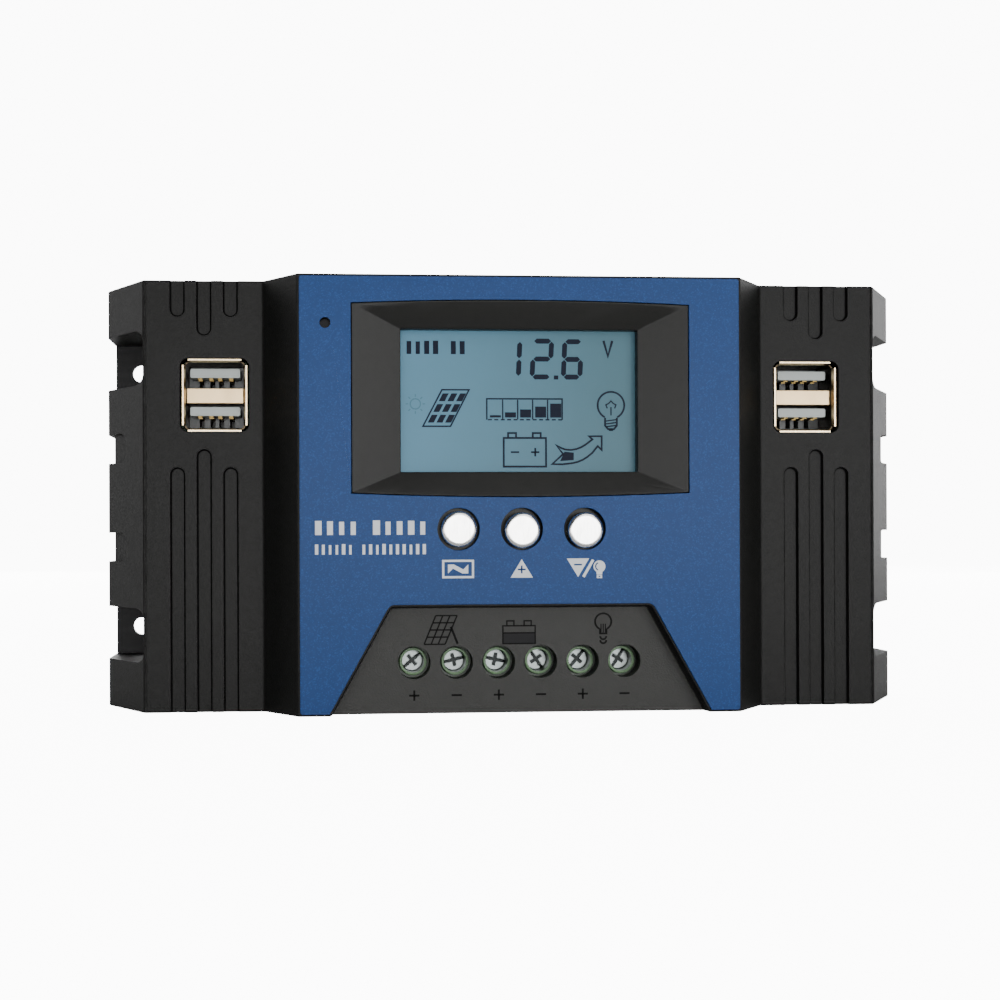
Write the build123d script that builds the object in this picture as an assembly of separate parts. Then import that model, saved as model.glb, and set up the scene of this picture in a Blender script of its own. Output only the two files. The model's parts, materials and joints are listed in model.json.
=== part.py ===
"""Solar charge controller: black front housing with blue overlay, display, buttons, USB sockets
and six rising-cage screw terminals, on a flat aluminium back plate.

Units are millimetres.  X runs to the object's right as seen from its front, Z runs up, and the
front faces -Y.  The origin is the centre of the back face, which lies in the plane y = 0.
Most places are given as a depth: the distance in front of that back plane, so y = -depth.
"""
import os

from build123d import *

# ---- overall size ------------------------------------------------------------------------------
WIDTH = 188.0
HEIGHT = 97.5
FACE_DEPTH = 46.5            # front of the blue overlay
PLATE_THICK = 2.0            # aluminium back plate
OVERLAY_THICK = 0.5
WALL = 2.4                   # housing wall
PAST = 1.0                   # how far a cut runs past the face it opens
TOUCH = 0.1                  # how far joined shapes sink into each other
FAR_FRONT = 60.0             # a depth in front of everything
FAR_BACK = -10.0             # a depth behind everything

# ---- housing section: half widths and depths -----------------------------------------------------
SIDE_DEPTH = 17.6            # top of the upright side wall
WING_HALF = 84.15            # outer edge of the flat wing
WING_DEPTH = 34.8
TOWER_BASE_HALF = 57.3
TOWER_TOP_HALF = 49.2        # at the overlay's front
SHELL_DEPTH = FACE_DEPTH - OVERLAY_THICK
TOWER_SLOPE = (TOWER_BASE_HALF - TOWER_TOP_HALF) / (FACE_DEPTH - WING_DEPTH)
SHELL_TOP_HALF = TOWER_TOP_HALF + OVERLAY_THICK * TOWER_SLOPE
OVERLAY_SIDE = 0.45          # black edge that shows around the overlay
OVERLAY_END = 0.55
OVERLAY_R = 0.6
HALF_H = HEIGHT / 2
INNER_TOP_DEPTH = SHELL_DEPTH - WALL
SIDE_R = 1.6                 # rounding of the housing's long edges, from the side inwards
WING_R = 0.7
TOWER_R = 0.5
RIM_R = 0.45

# ---- mounting ears -------------------------------------------------------------------------------
MOUNT_X = 88.0
MOUNT_Z = 31.0
MOUNT_HOLE_R = 2.1
POCKET_INNER = 84.2
POCKET_LOW = 25.3
POCKET_HIGH = 37.6
POCKET_R = 2.2
POCKET_PAST = 6.0            # how far the pocket's outline runs out past the side

# ---- side vent recesses --------------------------------------------------------------------------
VENT_Z = 11.45
VENT_HALF = 3.35
VENT_TOP_DEPTH = 27.0
VENT_CUT = 1.45
VENT_BACK = 3.0
VENT_REACH = (80.0, 98.0)    # the cutter's span, measured out from the middle

# ---- wing grooves: (x, upper tip, lower tip) -----------------------------------------------------
GROOVE_WIDTH = 3.4
GROOVE_CUT = 0.9
GROOVES = ((64.6, 40.5, 6.6), (70.55, 36.3, 10.7), (76.5, 40.5, 6.6))
EDGE_LINE = 0.35             # fine line between wing and flank
GROOVE_PAST = 3.0            # how far a groove's cutter runs out over the edge

# ---- terminal recess -----------------------------------------------------------------------------
PANEL_DEPTH = 42.0
RECESS_TOP_Z = -25.2
RECESS_TOP_HALF = 28.8
RECESS_SPREAD = 0.555        # growth of the half width per mm downwards
RECESS_DRAFT = 8.2           # degrees
RECESS_LIP = 0.95            # overlay's clearance around the recess floor outline
RECESS_R = 1.0
RECESS_PAST = 5.0            # how far its outline runs down past the lower edge

# ---- terminals -----------------------------------------------------------------------------------
WAYS = 6
PITCH = 9.5
SCREW_Z = -37.4
WELL_R = 3.7
WELL_TUBE_R = 4.8
WELL_LOW = 36.8
BLOCK_HALF = 28.9
BLOCK_Z = (-46.2, -31.4)
BLOCK_TOP = 36.5
COLLAR_R = 3.1
COLLAR_TOP = 38.0
COLLAR_BORE = 2.5
HEAD_R = 2.35
HEAD_TOP = 34.0
LEDGE_TOP = 31.8
CHAMBER_TOP = 30.6
SHANK_R = 1.75
TIP_DEPTH = 24.45
RUNNING = 0.05               # radial clearance of the screw in its cage
CAGE_HALF = 3.7
CAGE_Z = (-40.4, -34.4)
CAGE_DEPTH = (17.2, 26.2)    # fully open
CAGE_FLOOR = 1.2
CAGE_ROOF = 1.6
CAGE_SIDE = 0.9
BAR_DEPTH = (23.1, 24.3)
BAR_HALF = 2.5
BAR_Z = (-40.2, -32.6)       # from under the screw to the tail
BAR_TAIL_Z = (-33.8, -32.6)  # the tail that runs back to the main board
CHAMBER_HALF = 3.8           # room that the cage slides in
CHAMBER_BACK = 16.9
CHAMBER_Z = (-40.7, -34.1)
MOUTH_HALF = 3.0             # wire entry in the block
MOUTH_DEPTH = (17.9, 23.7)
MOUTH_Z = (-47.0, -40.0)
TAIL_HALF = 2.6
TAIL_Z = (-34.3, -32.5)
WIRE_CUT_HALF = 3.4          # wire entry in the housing
WIRE_CUT_DEPTH = (17.6, 24.0)
SHANK_CLEAR = 0.1            # radial clearance of the screw in the block
HEAD_CLEAR = 0.05            # under the head
SLOT = (6.0, 0.9, 0.65)      # right across the head
CROSS_LONG = 2.9             # cross recess: length, depth and width of its arms
CROSS_DEEP = 1.5
CROSS_WIDE = 0.75
SCREW_TURNS = (40, 14, -12, -56, 50, 57)  # how each slot happens to stand, degrees

# ---- boards --------------------------------------------------------------------------------------
BOARD_DEPTH = (12.9, 14.5)
BOARD_HALF = 79.0
BOARD_Z = (-45.5, 44.0)
SUB_DEPTH = (31.0, 32.6)
SUB_HALF = 46.0
SUB_Z = (-14.0, 44.5)
SUB_POSTS = ((-42, 42), (42, 42), (-42, -11), (42, -11))
BOSSES = ((-52, 42), (52, 42), (-72, -42), (72, -42))
POSTS = ((-76, 38), (76, 38), (-60, -36), (60, -36))
BOSS_R = 3.5
BOSS_CORE = 1.35
POST_R = 2.6
SCREW_M3_CLEAR = 1.6
BOSS_HOLE_TOP = 14.0
BOSS_GAP = 0.4               # main board around the housing bosses
SUB_POST_R = 2.0
SUB_CORE = 0.85
SUB_HOLE_R = 1.1
SUB_HOLE_DEEP = 6.0

# ---- display -------------------------------------------------------------------------------------
BEZEL_HALF = 37.6
BEZEL_Z = (0.45, 42.2)
BEZEL_BOW = 0.85
BEZEL_FRONT = 46.4
BEZEL_BACK = 40.9
BEZEL_FLANGE = 1.2
WINDOW_HALF = 26.65
WINDOW_Z = (5.15, 36.95)
WINDOW_DEPTH = 43.5
GLASS_DEPTH = (38.3, 40.5)
POLARISER = 0.3
BEZEL_GAP = 0.15             # clearance of the bezel in the housing and the overlay
BEZEL_RIM = 0.25             # flat rim in front, outside the slopes
POLARISER_HALF = 29.0
POLARISER_Z = (3.6, 38.4)
GLASS_HALF = 31.0
GLASS_Z = (2.0, 41.6)
BACKLIGHT_HALF = 31.5
BACKLIGHT_BACK = 34.3
BACKLIGHT_Z = (1.5, 40.5)
PIN_Z = (40.7, 41.2)
PIN_HALF = 0.25
PIN_FIRST = -24.0
PIN_STEP = 3.2
PIN_COUNT = 16

# ---- buttons and status light --------------------------------------------------------------------
BUTTONS = {"left": -14.1, "centre": 0.0, "right": 14.1}
BUTTON_Z = -7.6
BUTTON_HOLE_R = 4.7
CAP_R = 3.95
CAP_TOP = 48.0
CAP_TRAVEL = 0.5
STEM_LOW = 37.7
CAP_CROWN = 0.9
CAP_FLANGE_R = 5.2           # holds the cap behind the housing
CAP_FLANGE_BACK = 42.4
STEM_R = 2.0
BUTTON_SAG = {"left": 0.0, "centre": 0.3, "right": 0.3}  # how low each loose cap hangs
SWITCH_HALF = 3.0
SWITCH_TALL = 3.5
PLUNGER_R = 1.7
PLUNGER_GAP = 0.1
PLUNGER_SUNK = 1.5
SWITCH_SPARE = 0.2           # room behind a plunger that is pressed all the way
LIGHT_X = -43.4
LIGHT_Z = 37.85
LIGHT_R = 1.1
LIGHT_GAP = 0.05
PIPE_BACK = 34.2
PIPE_FRONT = 44.2
PIPE_FLANGE_R = 1.7
PIPE_FLANGE_BACK = 41.5
LED_HALF = (0.9, 1.5)
LED_FRONT = 33.8

# ---- USB sockets ---------------------------------------------------------------------------------
USB_X = 68.2
USB_Z = 22.9
USB_CUT = (15.6, 16.7)
USB_INNER = (13.0, 14.8)
USB_SHEET = 0.35
USB_MOUTH = 33.2
USB_LIP = 34.2
USB_BASE = 24.0
TONGUE_FRONT = 31.6
TONGUE_HALF = 5.65
TONGUES = ((4.15, 6.2), (-4.5, -2.48))
CONTACT_X = (-3.5, -1.0, 1.0, 3.5)
USB_CUT_R = 2.0
USB_OUTER_R = 1.0
USB_FLARE = 0.45
USB_LIP_LONG = (12.0, 13.6)  # top and bottom lips, side lips
USB_FIT = 0.1                # clearance of the pieces inside the shell
USB_BASE_R = 0.8
SEPARATOR_FRONT = 32.5
SEPARATOR_HALF = 1.7
TONGUE_R = 0.4
CONTACT_HALF = 0.45
CONTACT_BACK = 17.0
CONTACT_FRONT = 30.6
CONTACT_THICK = 0.25
CONTACT_BUMP = (27.0, 28.6)
CONTACT_BUMP_TALL = 0.2
CONTACT_SLOT_HALF = 0.55
CONTACT_SLOT_BACK = 16.5
CONTACT_SLOT_TALL = 2.2

# ---- what stands on the main board ---------------------------------------------------------------
LINK_X = -36.0
LINK_Z = -9.0
LINK_PINS = 8
LINK_STEP = 2.54
LINK_BODY_HALF = 1.25
LINK_BODY_TALL = 2.5
LINK_PIN_HALF = 0.32
CAN_X = (-42, -28, 28, 42)
CAN_Z = -21.6
CAN_R = 6.25
CAN_TALL = 20.5
CAN_RIM_R = 0.8
COIL = (-62.0, -8.0)
COIL_R = (6.0, 10.5)
COIL_LIFT = 1.2
COIL_TALL = 8.0
COIL_TURNS = 16
TURN_OUTER = (6.9, 10.4, 0.9)
TURN_INNER = (5.1, 8.6, 2.0)
CHIP_X = (-18.0, -6.0)
CHIP_Z = (-1.0, 11.0)
CHIP_TALL = 1.5
SMALL_CHIP_X = (12, 24)
SMALL_CHIP_Z = (2, 12, 22)
SMALL_CHIP_HALF = (2.5, 2.0)
SMALL_CHIP_TALL = 1.6
FUSE_X = (56, 62, 68)
FUSE_Z = (-13.5, -2.5)
FUSE_HALF = 1.9
FUSE_TALL = 12.0
FETS = 8
FET_FIRST = -42.0
FET_STEP = 12.0
FET_HALF = 5.0
FET_Z = (24.0, 39.0)
FET_FRONT = 7.0
LEG_STEP = 2.54
LEG_HALF = 0.4
LEG_DEPTH = (4.5, 5.1)
LEG_Z = (21.0, 21.6)
PAD_HALF = 48.0
PAD_Z = (23.0, 40.0)
PAD_THICK = 0.5

# ---- fasteners -----------------------------------------------------------------------------------
PLATE_R = 1.0
SINK_R = 3.05                # countersink in the plate
HEAD_SINK_R = 3.0            # countersunk head
BACK_SCREW_LONG = 12.0
DRIVE = (3.2, 1.6, 0.7)      # cross recess of the machine screws
POST_HOLE_BACK = 6.0
BOARD_HEAD_R = 2.8
BOARD_HEAD_TALL = 2.0
BOARD_SCREW_TIP = 7.0
SUB_HEAD_R = 1.9
SUB_HEAD_TALL = 1.5
SUB_SCREW_LONG = 5.0


# ---- helpers -------------------------------------------------------------------------------------
def block(x, depth, z):
    """A box from three (low, high) pairs."""
    size = Box(x[1] - x[0], depth[1] - depth[0], z[1] - z[0])
    return Pos((x[0] + x[1]) / 2, -(depth[0] + depth[1]) / 2, (z[0] + z[1]) / 2) * size


def rod(x, z, radius, low, high):
    """A round bar that runs front to back."""
    return Pos(x, -(low + high) / 2, z) * Rot(90, 0, 0) * Cylinder(radius, high - low)


def forward(sketch, low, high, taper=0.0):
    """Extrude a sketch drawn as seen from the front, from one depth to another."""
    face = Plane.XZ.offset(low) * sketch
    return extrude(face, amount=high - low, dir=(0, -1, 0), taper=taper)


def joined(shapes):
    """One part made of several separate or touching solids."""
    return Part() + list(shapes)


def terminal_places():
    return [(index - (WAYS - 1) / 2) * PITCH for index in range(WAYS)]


# ---- front housing -------------------------------------------------------------------------------
def section(rim):
    """Half outline of the housing, mirrored, from the rim depth up."""
    half = [
        (WIDTH / 2, rim),
        (WIDTH / 2, SIDE_DEPTH),
        (WING_HALF, WING_DEPTH),
        (TOWER_BASE_HALF, WING_DEPTH),
        (SHELL_TOP_HALF, SHELL_DEPTH),
    ]
    points = [(x, -depth) for x, depth in half]
    points += [(-x, -depth) for x, depth in reversed(half)]
    return Polygon(*points, align=None)


def rounded_section(rim):
    outline = section(rim)
    for depth, radius in ((SIDE_DEPTH, SIDE_R), (WING_DEPTH, WING_R), (SHELL_DEPTH, TOWER_R)):
        tips = [v for v in outline.vertices() if abs(v.Y + depth) < 0.01]
        outline = fillet(tips, radius)
    return outline


def run_up(sketch, low, high):
    """Extrude a cross-section along Z."""
    return Pos(0, 0, low) * extrude(sketch, amount=high - low, dir=(0, 0, 1))


def outer_body():
    body = run_up(rounded_section(PLATE_THICK), -HALF_H, HALF_H)
    rims = [
        edge
        for edge in body.edges()
        if abs(abs(edge.center().Z) - HALF_H) < 0.01 and edge.center().Y < -PLATE_THICK - 0.1
    ]
    return fillet(rims, RIM_R)


def pocket_sketch(side, level, grow):
    width = WIDTH / 2 + POCKET_PAST - POCKET_INNER + grow
    centre_x = side * (POCKET_INNER - grow + width / 2)
    centre_z = level * (POCKET_LOW + POCKET_HIGH) / 2
    tall = POCKET_HIGH - POCKET_LOW + 2 * grow
    return Pos(centre_x, centre_z) * RectangleRounded(width, tall, POCKET_R)


def corners():
    return [(side, level) for side in (-1, 1) for level in (-1, 1)]


def recess_sketch(grow=0.0):
    low_z = -HALF_H - RECESS_PAST
    low_half = RECESS_TOP_HALF + RECESS_SPREAD * (RECESS_TOP_Z - low_z)
    outline = Polygon(
        (-RECESS_TOP_HALF, RECESS_TOP_Z),
        (RECESS_TOP_HALF, RECESS_TOP_Z),
        (low_half, low_z),
        (-low_half, low_z),
        align=None,
    )
    top = [v for v in outline.vertices() if v.Y > RECESS_TOP_Z - 0.1]
    outline = fillet(top, RECESS_R)
    return offset(outline, amount=grow) if grow else outline


def cavity():
    inside = offset(section(FAR_BACK), amount=-WALL, kind=Kind.INTERSECTION)
    hollow = run_up(inside, -HALF_H + WALL, HALF_H - WALL)
    for side, level in corners():
        hollow -= forward(pocket_sketch(side, level, WALL), FAR_BACK, FAR_FRONT)
    hollow -= forward(recess_sketch(WALL), PANEL_DEPTH - WALL, FAR_FRONT)
    return hollow


def vent_cut(body, side, level):
    """An arched recess in the flank that keeps the wall's slope and runs down the side wall."""
    x = sorted(side * reach for reach in VENT_REACH)
    z = (level * VENT_Z - VENT_HALF, level * VENT_Z + VENT_HALF)
    arch_depth = VENT_TOP_DEPTH - VENT_HALF
    arch = block(x, (VENT_BACK, arch_depth), z)
    bar = Rot(0, 90, 0) * Cylinder(VENT_HALF, x[1] - x[0])
    arch += Pos((x[0] + x[1]) / 2, -arch_depth, level * VENT_Z) * bar
    return arch - Pos(-side * VENT_CUT, 0, 0) * body


def groove_cut(x, tip, level):
    """A round-ended groove that runs out over the wing's top or bottom edge."""
    radius = GROOVE_WIDTH / 2
    end = level * (HALF_H + GROOVE_PAST)
    start = tip + level * radius
    shape = Pos(x, start) * Circle(radius)
    shape += Pos(x, (start + end) / 2) * Rectangle(GROOVE_WIDTH, abs(end - start))
    return forward(shape, WING_DEPTH - GROOVE_CUT, WING_DEPTH + PAST)


def bezel_outline(grow=0.0):
    half = BEZEL_HALF + grow
    low = BEZEL_Z[0] - grow
    high = BEZEL_Z[1] + grow
    edges = [
        ThreePointArc((-half, high), (0, high + BEZEL_BOW), (half, high)),
        Line((half, high), (half, low)),
        ThreePointArc((half, low), (0, low - BEZEL_BOW), (-half, low)),
        Line((-half, low), (-half, high)),
    ]
    return make_face(edges)


def front_housing():
    body = outer_body()
    shell = body - cavity()
    for x, z in BOSSES:
        shell += rod(x, z, BOSS_R, PLATE_THICK, FAR_FRONT) & body
    for x, z in SUB_POSTS:
        shell += rod(x, z, SUB_POST_R, SUB_DEPTH[1], INNER_TOP_DEPTH + TOUCH)
    for x in terminal_places():
        shell += rod(x, SCREW_Z, WELL_TUBE_R, WELL_LOW, PANEL_DEPTH - TOUCH)

    shell -= forward(recess_sketch(), PANEL_DEPTH, FACE_DEPTH + PAST, taper=-RECESS_DRAFT)
    for side, level in corners():
        shell -= forward(pocket_sketch(side, level, 0), PLATE_THICK - PAST, FAR_FRONT)
        shell -= vent_cut(body, side, level)
    for x, upper, lower in GROOVES:
        for side in (-1, 1):
            shell -= groove_cut(side * x, upper, 1)
            shell -= groove_cut(side * x, lower, -1)
    for side in (-1, 1):
        line = sorted((side * (WING_HALF - 2 * EDGE_LINE), side * (WING_HALF - EDGE_LINE)))
        tall = (-HALF_H - PAST, HALF_H + PAST)
        shell -= block(line, (WING_DEPTH - EDGE_LINE, WING_DEPTH + PAST), tall)
        window = Pos(side * USB_X, USB_Z) * RectangleRounded(*USB_CUT, USB_CUT_R)
        shell -= forward(window, WING_DEPTH - WALL - PAST, WING_DEPTH + PAST)
    for x in terminal_places():
        shell -= rod(x, SCREW_Z, WELL_R, WELL_LOW - PAST, PANEL_DEPTH + PAST)
        mouth = (x - WIRE_CUT_HALF, x + WIRE_CUT_HALF)
        shell -= block(mouth, WIRE_CUT_DEPTH, (-HALF_H - PAST, -HALF_H + WALL + TOUCH))
    for x in BUTTONS.values():
        shell -= rod(x, BUTTON_Z, BUTTON_HOLE_R, INNER_TOP_DEPTH - PAST, SHELL_DEPTH + PAST)
    light = LIGHT_R + LIGHT_GAP
    shell -= rod(LIGHT_X, LIGHT_Z, light, INNER_TOP_DEPTH - PAST, SHELL_DEPTH + PAST)
    shell -= forward(bezel_outline(BEZEL_GAP), INNER_TOP_DEPTH - PAST, SHELL_DEPTH + PAST)
    for x, z in BOSSES:
        shell -= rod(x, z, BOSS_CORE, PLATE_THICK - PAST, BOSS_HOLE_TOP)
    for x, z in SUB_POSTS:
        shell -= rod(x, z, SUB_CORE, SUB_DEPTH[1] - PAST, SUB_DEPTH[1] + SUB_HOLE_DEEP)
    return shell


def front_overlay():
    width = 2 * (SHELL_TOP_HALF - OVERLAY_SIDE)
    sheet = RectangleRounded(width, HEIGHT - 2 * OVERLAY_END, OVERLAY_R)
    sheet -= recess_sketch(RECESS_LIP)
    sheet -= bezel_outline(BEZEL_GAP)
    for x in BUTTONS.values():
        sheet -= Pos(x, BUTTON_Z) * Circle(BUTTON_HOLE_R)
    sheet -= Pos(LIGHT_X, LIGHT_Z) * Circle(LIGHT_R + 2 * LIGHT_GAP)
    return forward(sheet, SHELL_DEPTH, FACE_DEPTH)


# ---- display -------------------------------------------------------------------------------------
def window_rectangle():
    low, high = WINDOW_Z
    return Pos(0, (low + high) / 2) * Rectangle(2 * WINDOW_HALF, high - low)


def centred(half, centre=0.0):
    """The (low, high) pair of a span about its centre."""
    return (centre - half, centre + half)


def lcd_bezel():
    frame = forward(bezel_outline(), BEZEL_BACK, BEZEL_FRONT)
    frame += forward(bezel_outline(BEZEL_FLANGE), BEZEL_BACK, INNER_TOP_DEPTH - TOUCH)
    floor = Plane.XZ.offset(WINDOW_DEPTH) * window_rectangle()
    mouth = Plane.XZ.offset(BEZEL_FRONT) * bezel_outline(-BEZEL_RIM)
    frame -= loft([floor.face(), mouth.face()], ruled=True)
    frame -= forward(window_rectangle(), BEZEL_BACK - PAST, WINDOW_DEPTH)
    return frame


def display_pieces():
    back, front = GLASS_DEPTH
    film = (front, front + POLARISER)
    pins = [PIN_FIRST + PIN_STEP * index for index in range(PIN_COUNT)]
    return {
        "lcd_polariser": block(centred(POLARISER_HALF), film, POLARISER_Z),
        "lcd_glass": block(centred(GLASS_HALF), GLASS_DEPTH, GLASS_Z),
        "lcd_backlight": block(centred(BACKLIGHT_HALF), (BACKLIGHT_BACK, back), BACKLIGHT_Z),
        "lcd_pins": joined(
            block(centred(PIN_HALF, x), (SUB_DEPTH[1], back), PIN_Z) for x in pins
        ),
    }


# ---- buttons -------------------------------------------------------------------------------------
def button_cap(x, z):
    flange_top = INNER_TOP_DEPTH - TOUCH
    cap = rod(x, z, CAP_R, flange_top, CAP_TOP)
    crown = [e for e in cap.edges() if abs(e.center().Y + CAP_TOP) < 0.01]
    cap = fillet(crown, CAP_CROWN)
    cap += rod(x, z, CAP_FLANGE_R, CAP_FLANGE_BACK, flange_top)
    return cap + rod(x, z, STEM_R, STEM_LOW, CAP_FLANGE_BACK)


def button_pieces():
    pieces = {}
    top = SUB_DEPTH[1] + SWITCH_TALL
    low = top - PLUNGER_SUNK
    for name, x in BUTTONS.items():
        pieces[f"button_{name}"] = button_cap(x, BUTTON_Z - BUTTON_SAG[name])
        pieces[f"switch_plunger_{name}"] = rod(x, BUTTON_Z, PLUNGER_R, low, STEM_LOW)
    well = low - CAP_TRAVEL - SWITCH_SPARE
    pieces["switch_bodies"] = joined(
        block(centred(SWITCH_HALF, x), (SUB_DEPTH[1], top), centred(SWITCH_HALF, BUTTON_Z))
        - rod(x, BUTTON_Z, PLUNGER_R + PLUNGER_GAP, well, top + PAST)
        for x in BUTTONS.values()
    )
    return pieces


def status_pieces():
    pipe = rod(LIGHT_X, LIGHT_Z, LIGHT_R, PIPE_BACK, PIPE_FRONT)
    pipe += rod(LIGHT_X, LIGHT_Z, PIPE_FLANGE_R, PIPE_FLANGE_BACK, INNER_TOP_DEPTH - TOUCH)
    x = centred(LED_HALF[0], LIGHT_X)
    z = centred(LED_HALF[1], LIGHT_Z)
    return {"light_pipe": pipe, "status_led": block(x, (SUB_DEPTH[1], LED_FRONT), z)}


# ---- terminals -----------------------------------------------------------------------------------
def terminal_block():
    body = block(centred(BLOCK_HALF), (BOARD_DEPTH[1], BLOCK_TOP), BLOCK_Z)
    tail = (BOARD_DEPTH[1] - PAST, BAR_DEPTH[1] + SHANK_CLEAR)
    for x in terminal_places():
        body += rod(x, SCREW_Z, COLLAR_R, BLOCK_TOP - TOUCH, COLLAR_TOP)
    for x in terminal_places():
        body -= rod(x, SCREW_Z, COLLAR_BORE, LEDGE_TOP, COLLAR_TOP + PAST)
        body -= rod(x, SCREW_Z, SHANK_R + SHANK_CLEAR, CHAMBER_TOP - PAST, LEDGE_TOP + PAST)
        body -= block(centred(CHAMBER_HALF, x), (CHAMBER_BACK, CHAMBER_TOP), CHAMBER_Z)
        body -= block(centred(MOUTH_HALF, x), MOUTH_DEPTH, MOUTH_Z)
        body -= block(centred(TAIL_HALF, x), tail, TAIL_Z)
    return body


def terminal_bar(x):
    across = centred(BAR_HALF, x)
    bar = block(across, BAR_DEPTH, BAR_Z)
    return bar + block(across, (BOARD_DEPTH[1], BAR_DEPTH[1]), BAR_TAIL_Z)


def clamp_cage(x):
    low, high = CAGE_DEPTH
    cage = block(centred(CAGE_HALF, x), CAGE_DEPTH, CAGE_Z)
    room = centred(CAGE_HALF - CAGE_SIDE, x)
    through = (CAGE_Z[0] - PAST, CAGE_Z[1] + PAST)
    cage -= block(room, (low + CAGE_FLOOR, high - CAGE_ROOF), through)
    return cage - rod(x, SCREW_Z, SHANK_R + RUNNING, high - CAGE_ROOF - PAST, high + PAST)


def clamp_screw(x, turn):
    """Terminal screw with a cross recess and a slot right across its head."""
    screw = rod(x, SCREW_Z, HEAD_R, LEDGE_TOP + HEAD_CLEAR, HEAD_TOP)
    screw += rod(x, SCREW_Z, SHANK_R, TIP_DEPTH, LEDGE_TOP + HEAD_CLEAR + TOUCH)
    drive = Box(*SLOT) + Box(CROSS_LONG, CROSS_DEEP, CROSS_WIDE)
    drive += Box(CROSS_WIDE, CROSS_DEEP, CROSS_LONG)
    return screw - Pos(x, -HEAD_TOP, SCREW_Z) * Rot(0, turn, 0) * drive


def terminal_pieces():
    pieces = {"terminal_block": terminal_block()}
    pieces["terminal_bars"] = joined(terminal_bar(x) for x in terminal_places())
    for number, (x, turn) in enumerate(zip(terminal_places(), SCREW_TURNS), start=1):
        pieces[f"clamp_cage_{number}"] = clamp_cage(x)
        pieces[f"clamp_screw_{number}"] = clamp_screw(x, -turn)
    return pieces


# ---- USB sockets ---------------------------------------------------------------------------------
def usb_shell():
    """Sheet-steel sleeve with a flared lip on each side of its mouth."""
    wide, tall = USB_INNER
    outer = RectangleRounded(wide + 2 * USB_SHEET, tall + 2 * USB_SHEET, USB_OUTER_R)
    inner = RectangleRounded(wide, tall, USB_OUTER_R - USB_SHEET)
    sleeve = forward(outer - inner, BOARD_DEPTH[1], USB_MOUTH)
    for half, length, turn in zip((tall / 2, wide / 2), USB_LIP_LONG, (0, 90)):
        profile = Polygon(
            (-USB_MOUTH, half),
            (-USB_MOUTH, half + USB_SHEET),
            (-USB_LIP, half + USB_SHEET + USB_FLARE),
            (-USB_LIP, half + USB_FLARE),
            align=None,
        )
        lip = extrude(Plane.YZ * profile, amount=length / 2, both=True)
        sleeve += Rot(0, turn, 0) * lip
        sleeve += Rot(0, turn + 180, 0) * lip
    return sleeve


def usb_separator():
    half = USB_INNER[0] / 2 - USB_FIT
    bar = block(centred(half), (USB_BASE, SEPARATOR_FRONT), centred(SEPARATOR_HALF))
    depth = (USB_BASE - PAST, SEPARATOR_FRONT - USB_SHEET)
    return bar - block(centred(half + PAST), depth, centred(SEPARATOR_HALF - USB_SHEET))


def usb_insulator():
    wide, tall = USB_INNER
    base = RectangleRounded(wide - 2 * USB_FIT, tall - 2 * USB_FIT, USB_BASE_R)
    body = forward(base, BOARD_DEPTH[1], USB_BASE)
    for tongue in TONGUES:
        body += block(centred(TONGUE_HALF), (USB_BASE - TOUCH, TONGUE_FRONT), tongue)
    ends = [
        e
        for e in body.edges().filter_by(Axis.Y)
        if e.center().Y < -USB_BASE and abs(abs(e.center().X) - TONGUE_HALF) < 0.01
    ]
    body = fillet(ends, TONGUE_R)
    depth = (CONTACT_SLOT_BACK, USB_BASE + PAST)
    for low, _ in TONGUES:
        for x in CONTACT_X:
            body -= block(centred(CONTACT_SLOT_HALF, x), depth, (low - CONTACT_SLOT_TALL, low))
    return body


def usb_contacts():
    strips = []
    for low, _ in TONGUES:
        for x in CONTACT_X:
            across = centred(CONTACT_HALF, x)
            under = low - CONTACT_THICK
            strips.append(block(across, (CONTACT_BACK, CONTACT_FRONT), (under, low)))
            strips.append(block(across, CONTACT_BUMP, (under - CONTACT_BUMP_TALL, low)))
    return joined(strips)


def usb_pieces():
    pieces = {}
    makers = {
        "usb_shell": usb_shell(),
        "usb_separator": usb_separator(),
        "usb_insulator": usb_insulator(),
        "usb_contacts": usb_contacts(),
    }
    for side, x in (("left", -USB_X), ("right", USB_X)):
        for name, shape in makers.items():
            pieces[f"{name}_{side}"] = Pos(x, 0, USB_Z) * shape
    return pieces


# ---- boards and what is on them ------------------------------------------------------------------
def main_board():
    board = block(centred(BOARD_HALF), BOARD_DEPTH, BOARD_Z)
    low, high = BOARD_DEPTH
    for x, z in BOSSES:
        board -= rod(x, z, BOSS_R + BOSS_GAP, low - PAST, high + PAST)
    for x, z in POSTS:
        board -= rod(x, z, SCREW_M3_CLEAR, low - PAST, high + PAST)
    return board


def display_board():
    board = block(centred(SUB_HALF), SUB_DEPTH, SUB_Z)
    low, high = SUB_DEPTH
    for x, z in SUB_POSTS:
        board -= rod(x, z, SUB_HOLE_R, low - PAST, high + PAST)
    return board


def board_link():
    low = BOARD_DEPTH[1]
    top = low + LINK_BODY_TALL
    last = LINK_X + LINK_STEP * (LINK_PINS - 1)
    across = (LINK_X - LINK_BODY_HALF, last + LINK_BODY_HALF)
    strip = block(across, (low, top), centred(LINK_BODY_HALF, LINK_Z))
    for index in range(LINK_PINS):
        x = centred(LINK_PIN_HALF, LINK_X + LINK_STEP * index)
        strip += block(x, (top - TOUCH, SUB_DEPTH[0]), centred(LINK_PIN_HALF, LINK_Z))
    return strip


def capacitors():
    low = BOARD_DEPTH[1]
    top = low + CAN_TALL
    cans = []
    for x in CAN_X:
        can = rod(x, CAN_Z, CAN_R, low, top)
        rim = [e for e in can.edges() if abs(e.center().Y + top) < 0.01]
        cans.append(fillet(rim, CAN_RIM_R))
    return joined(cans)


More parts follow.
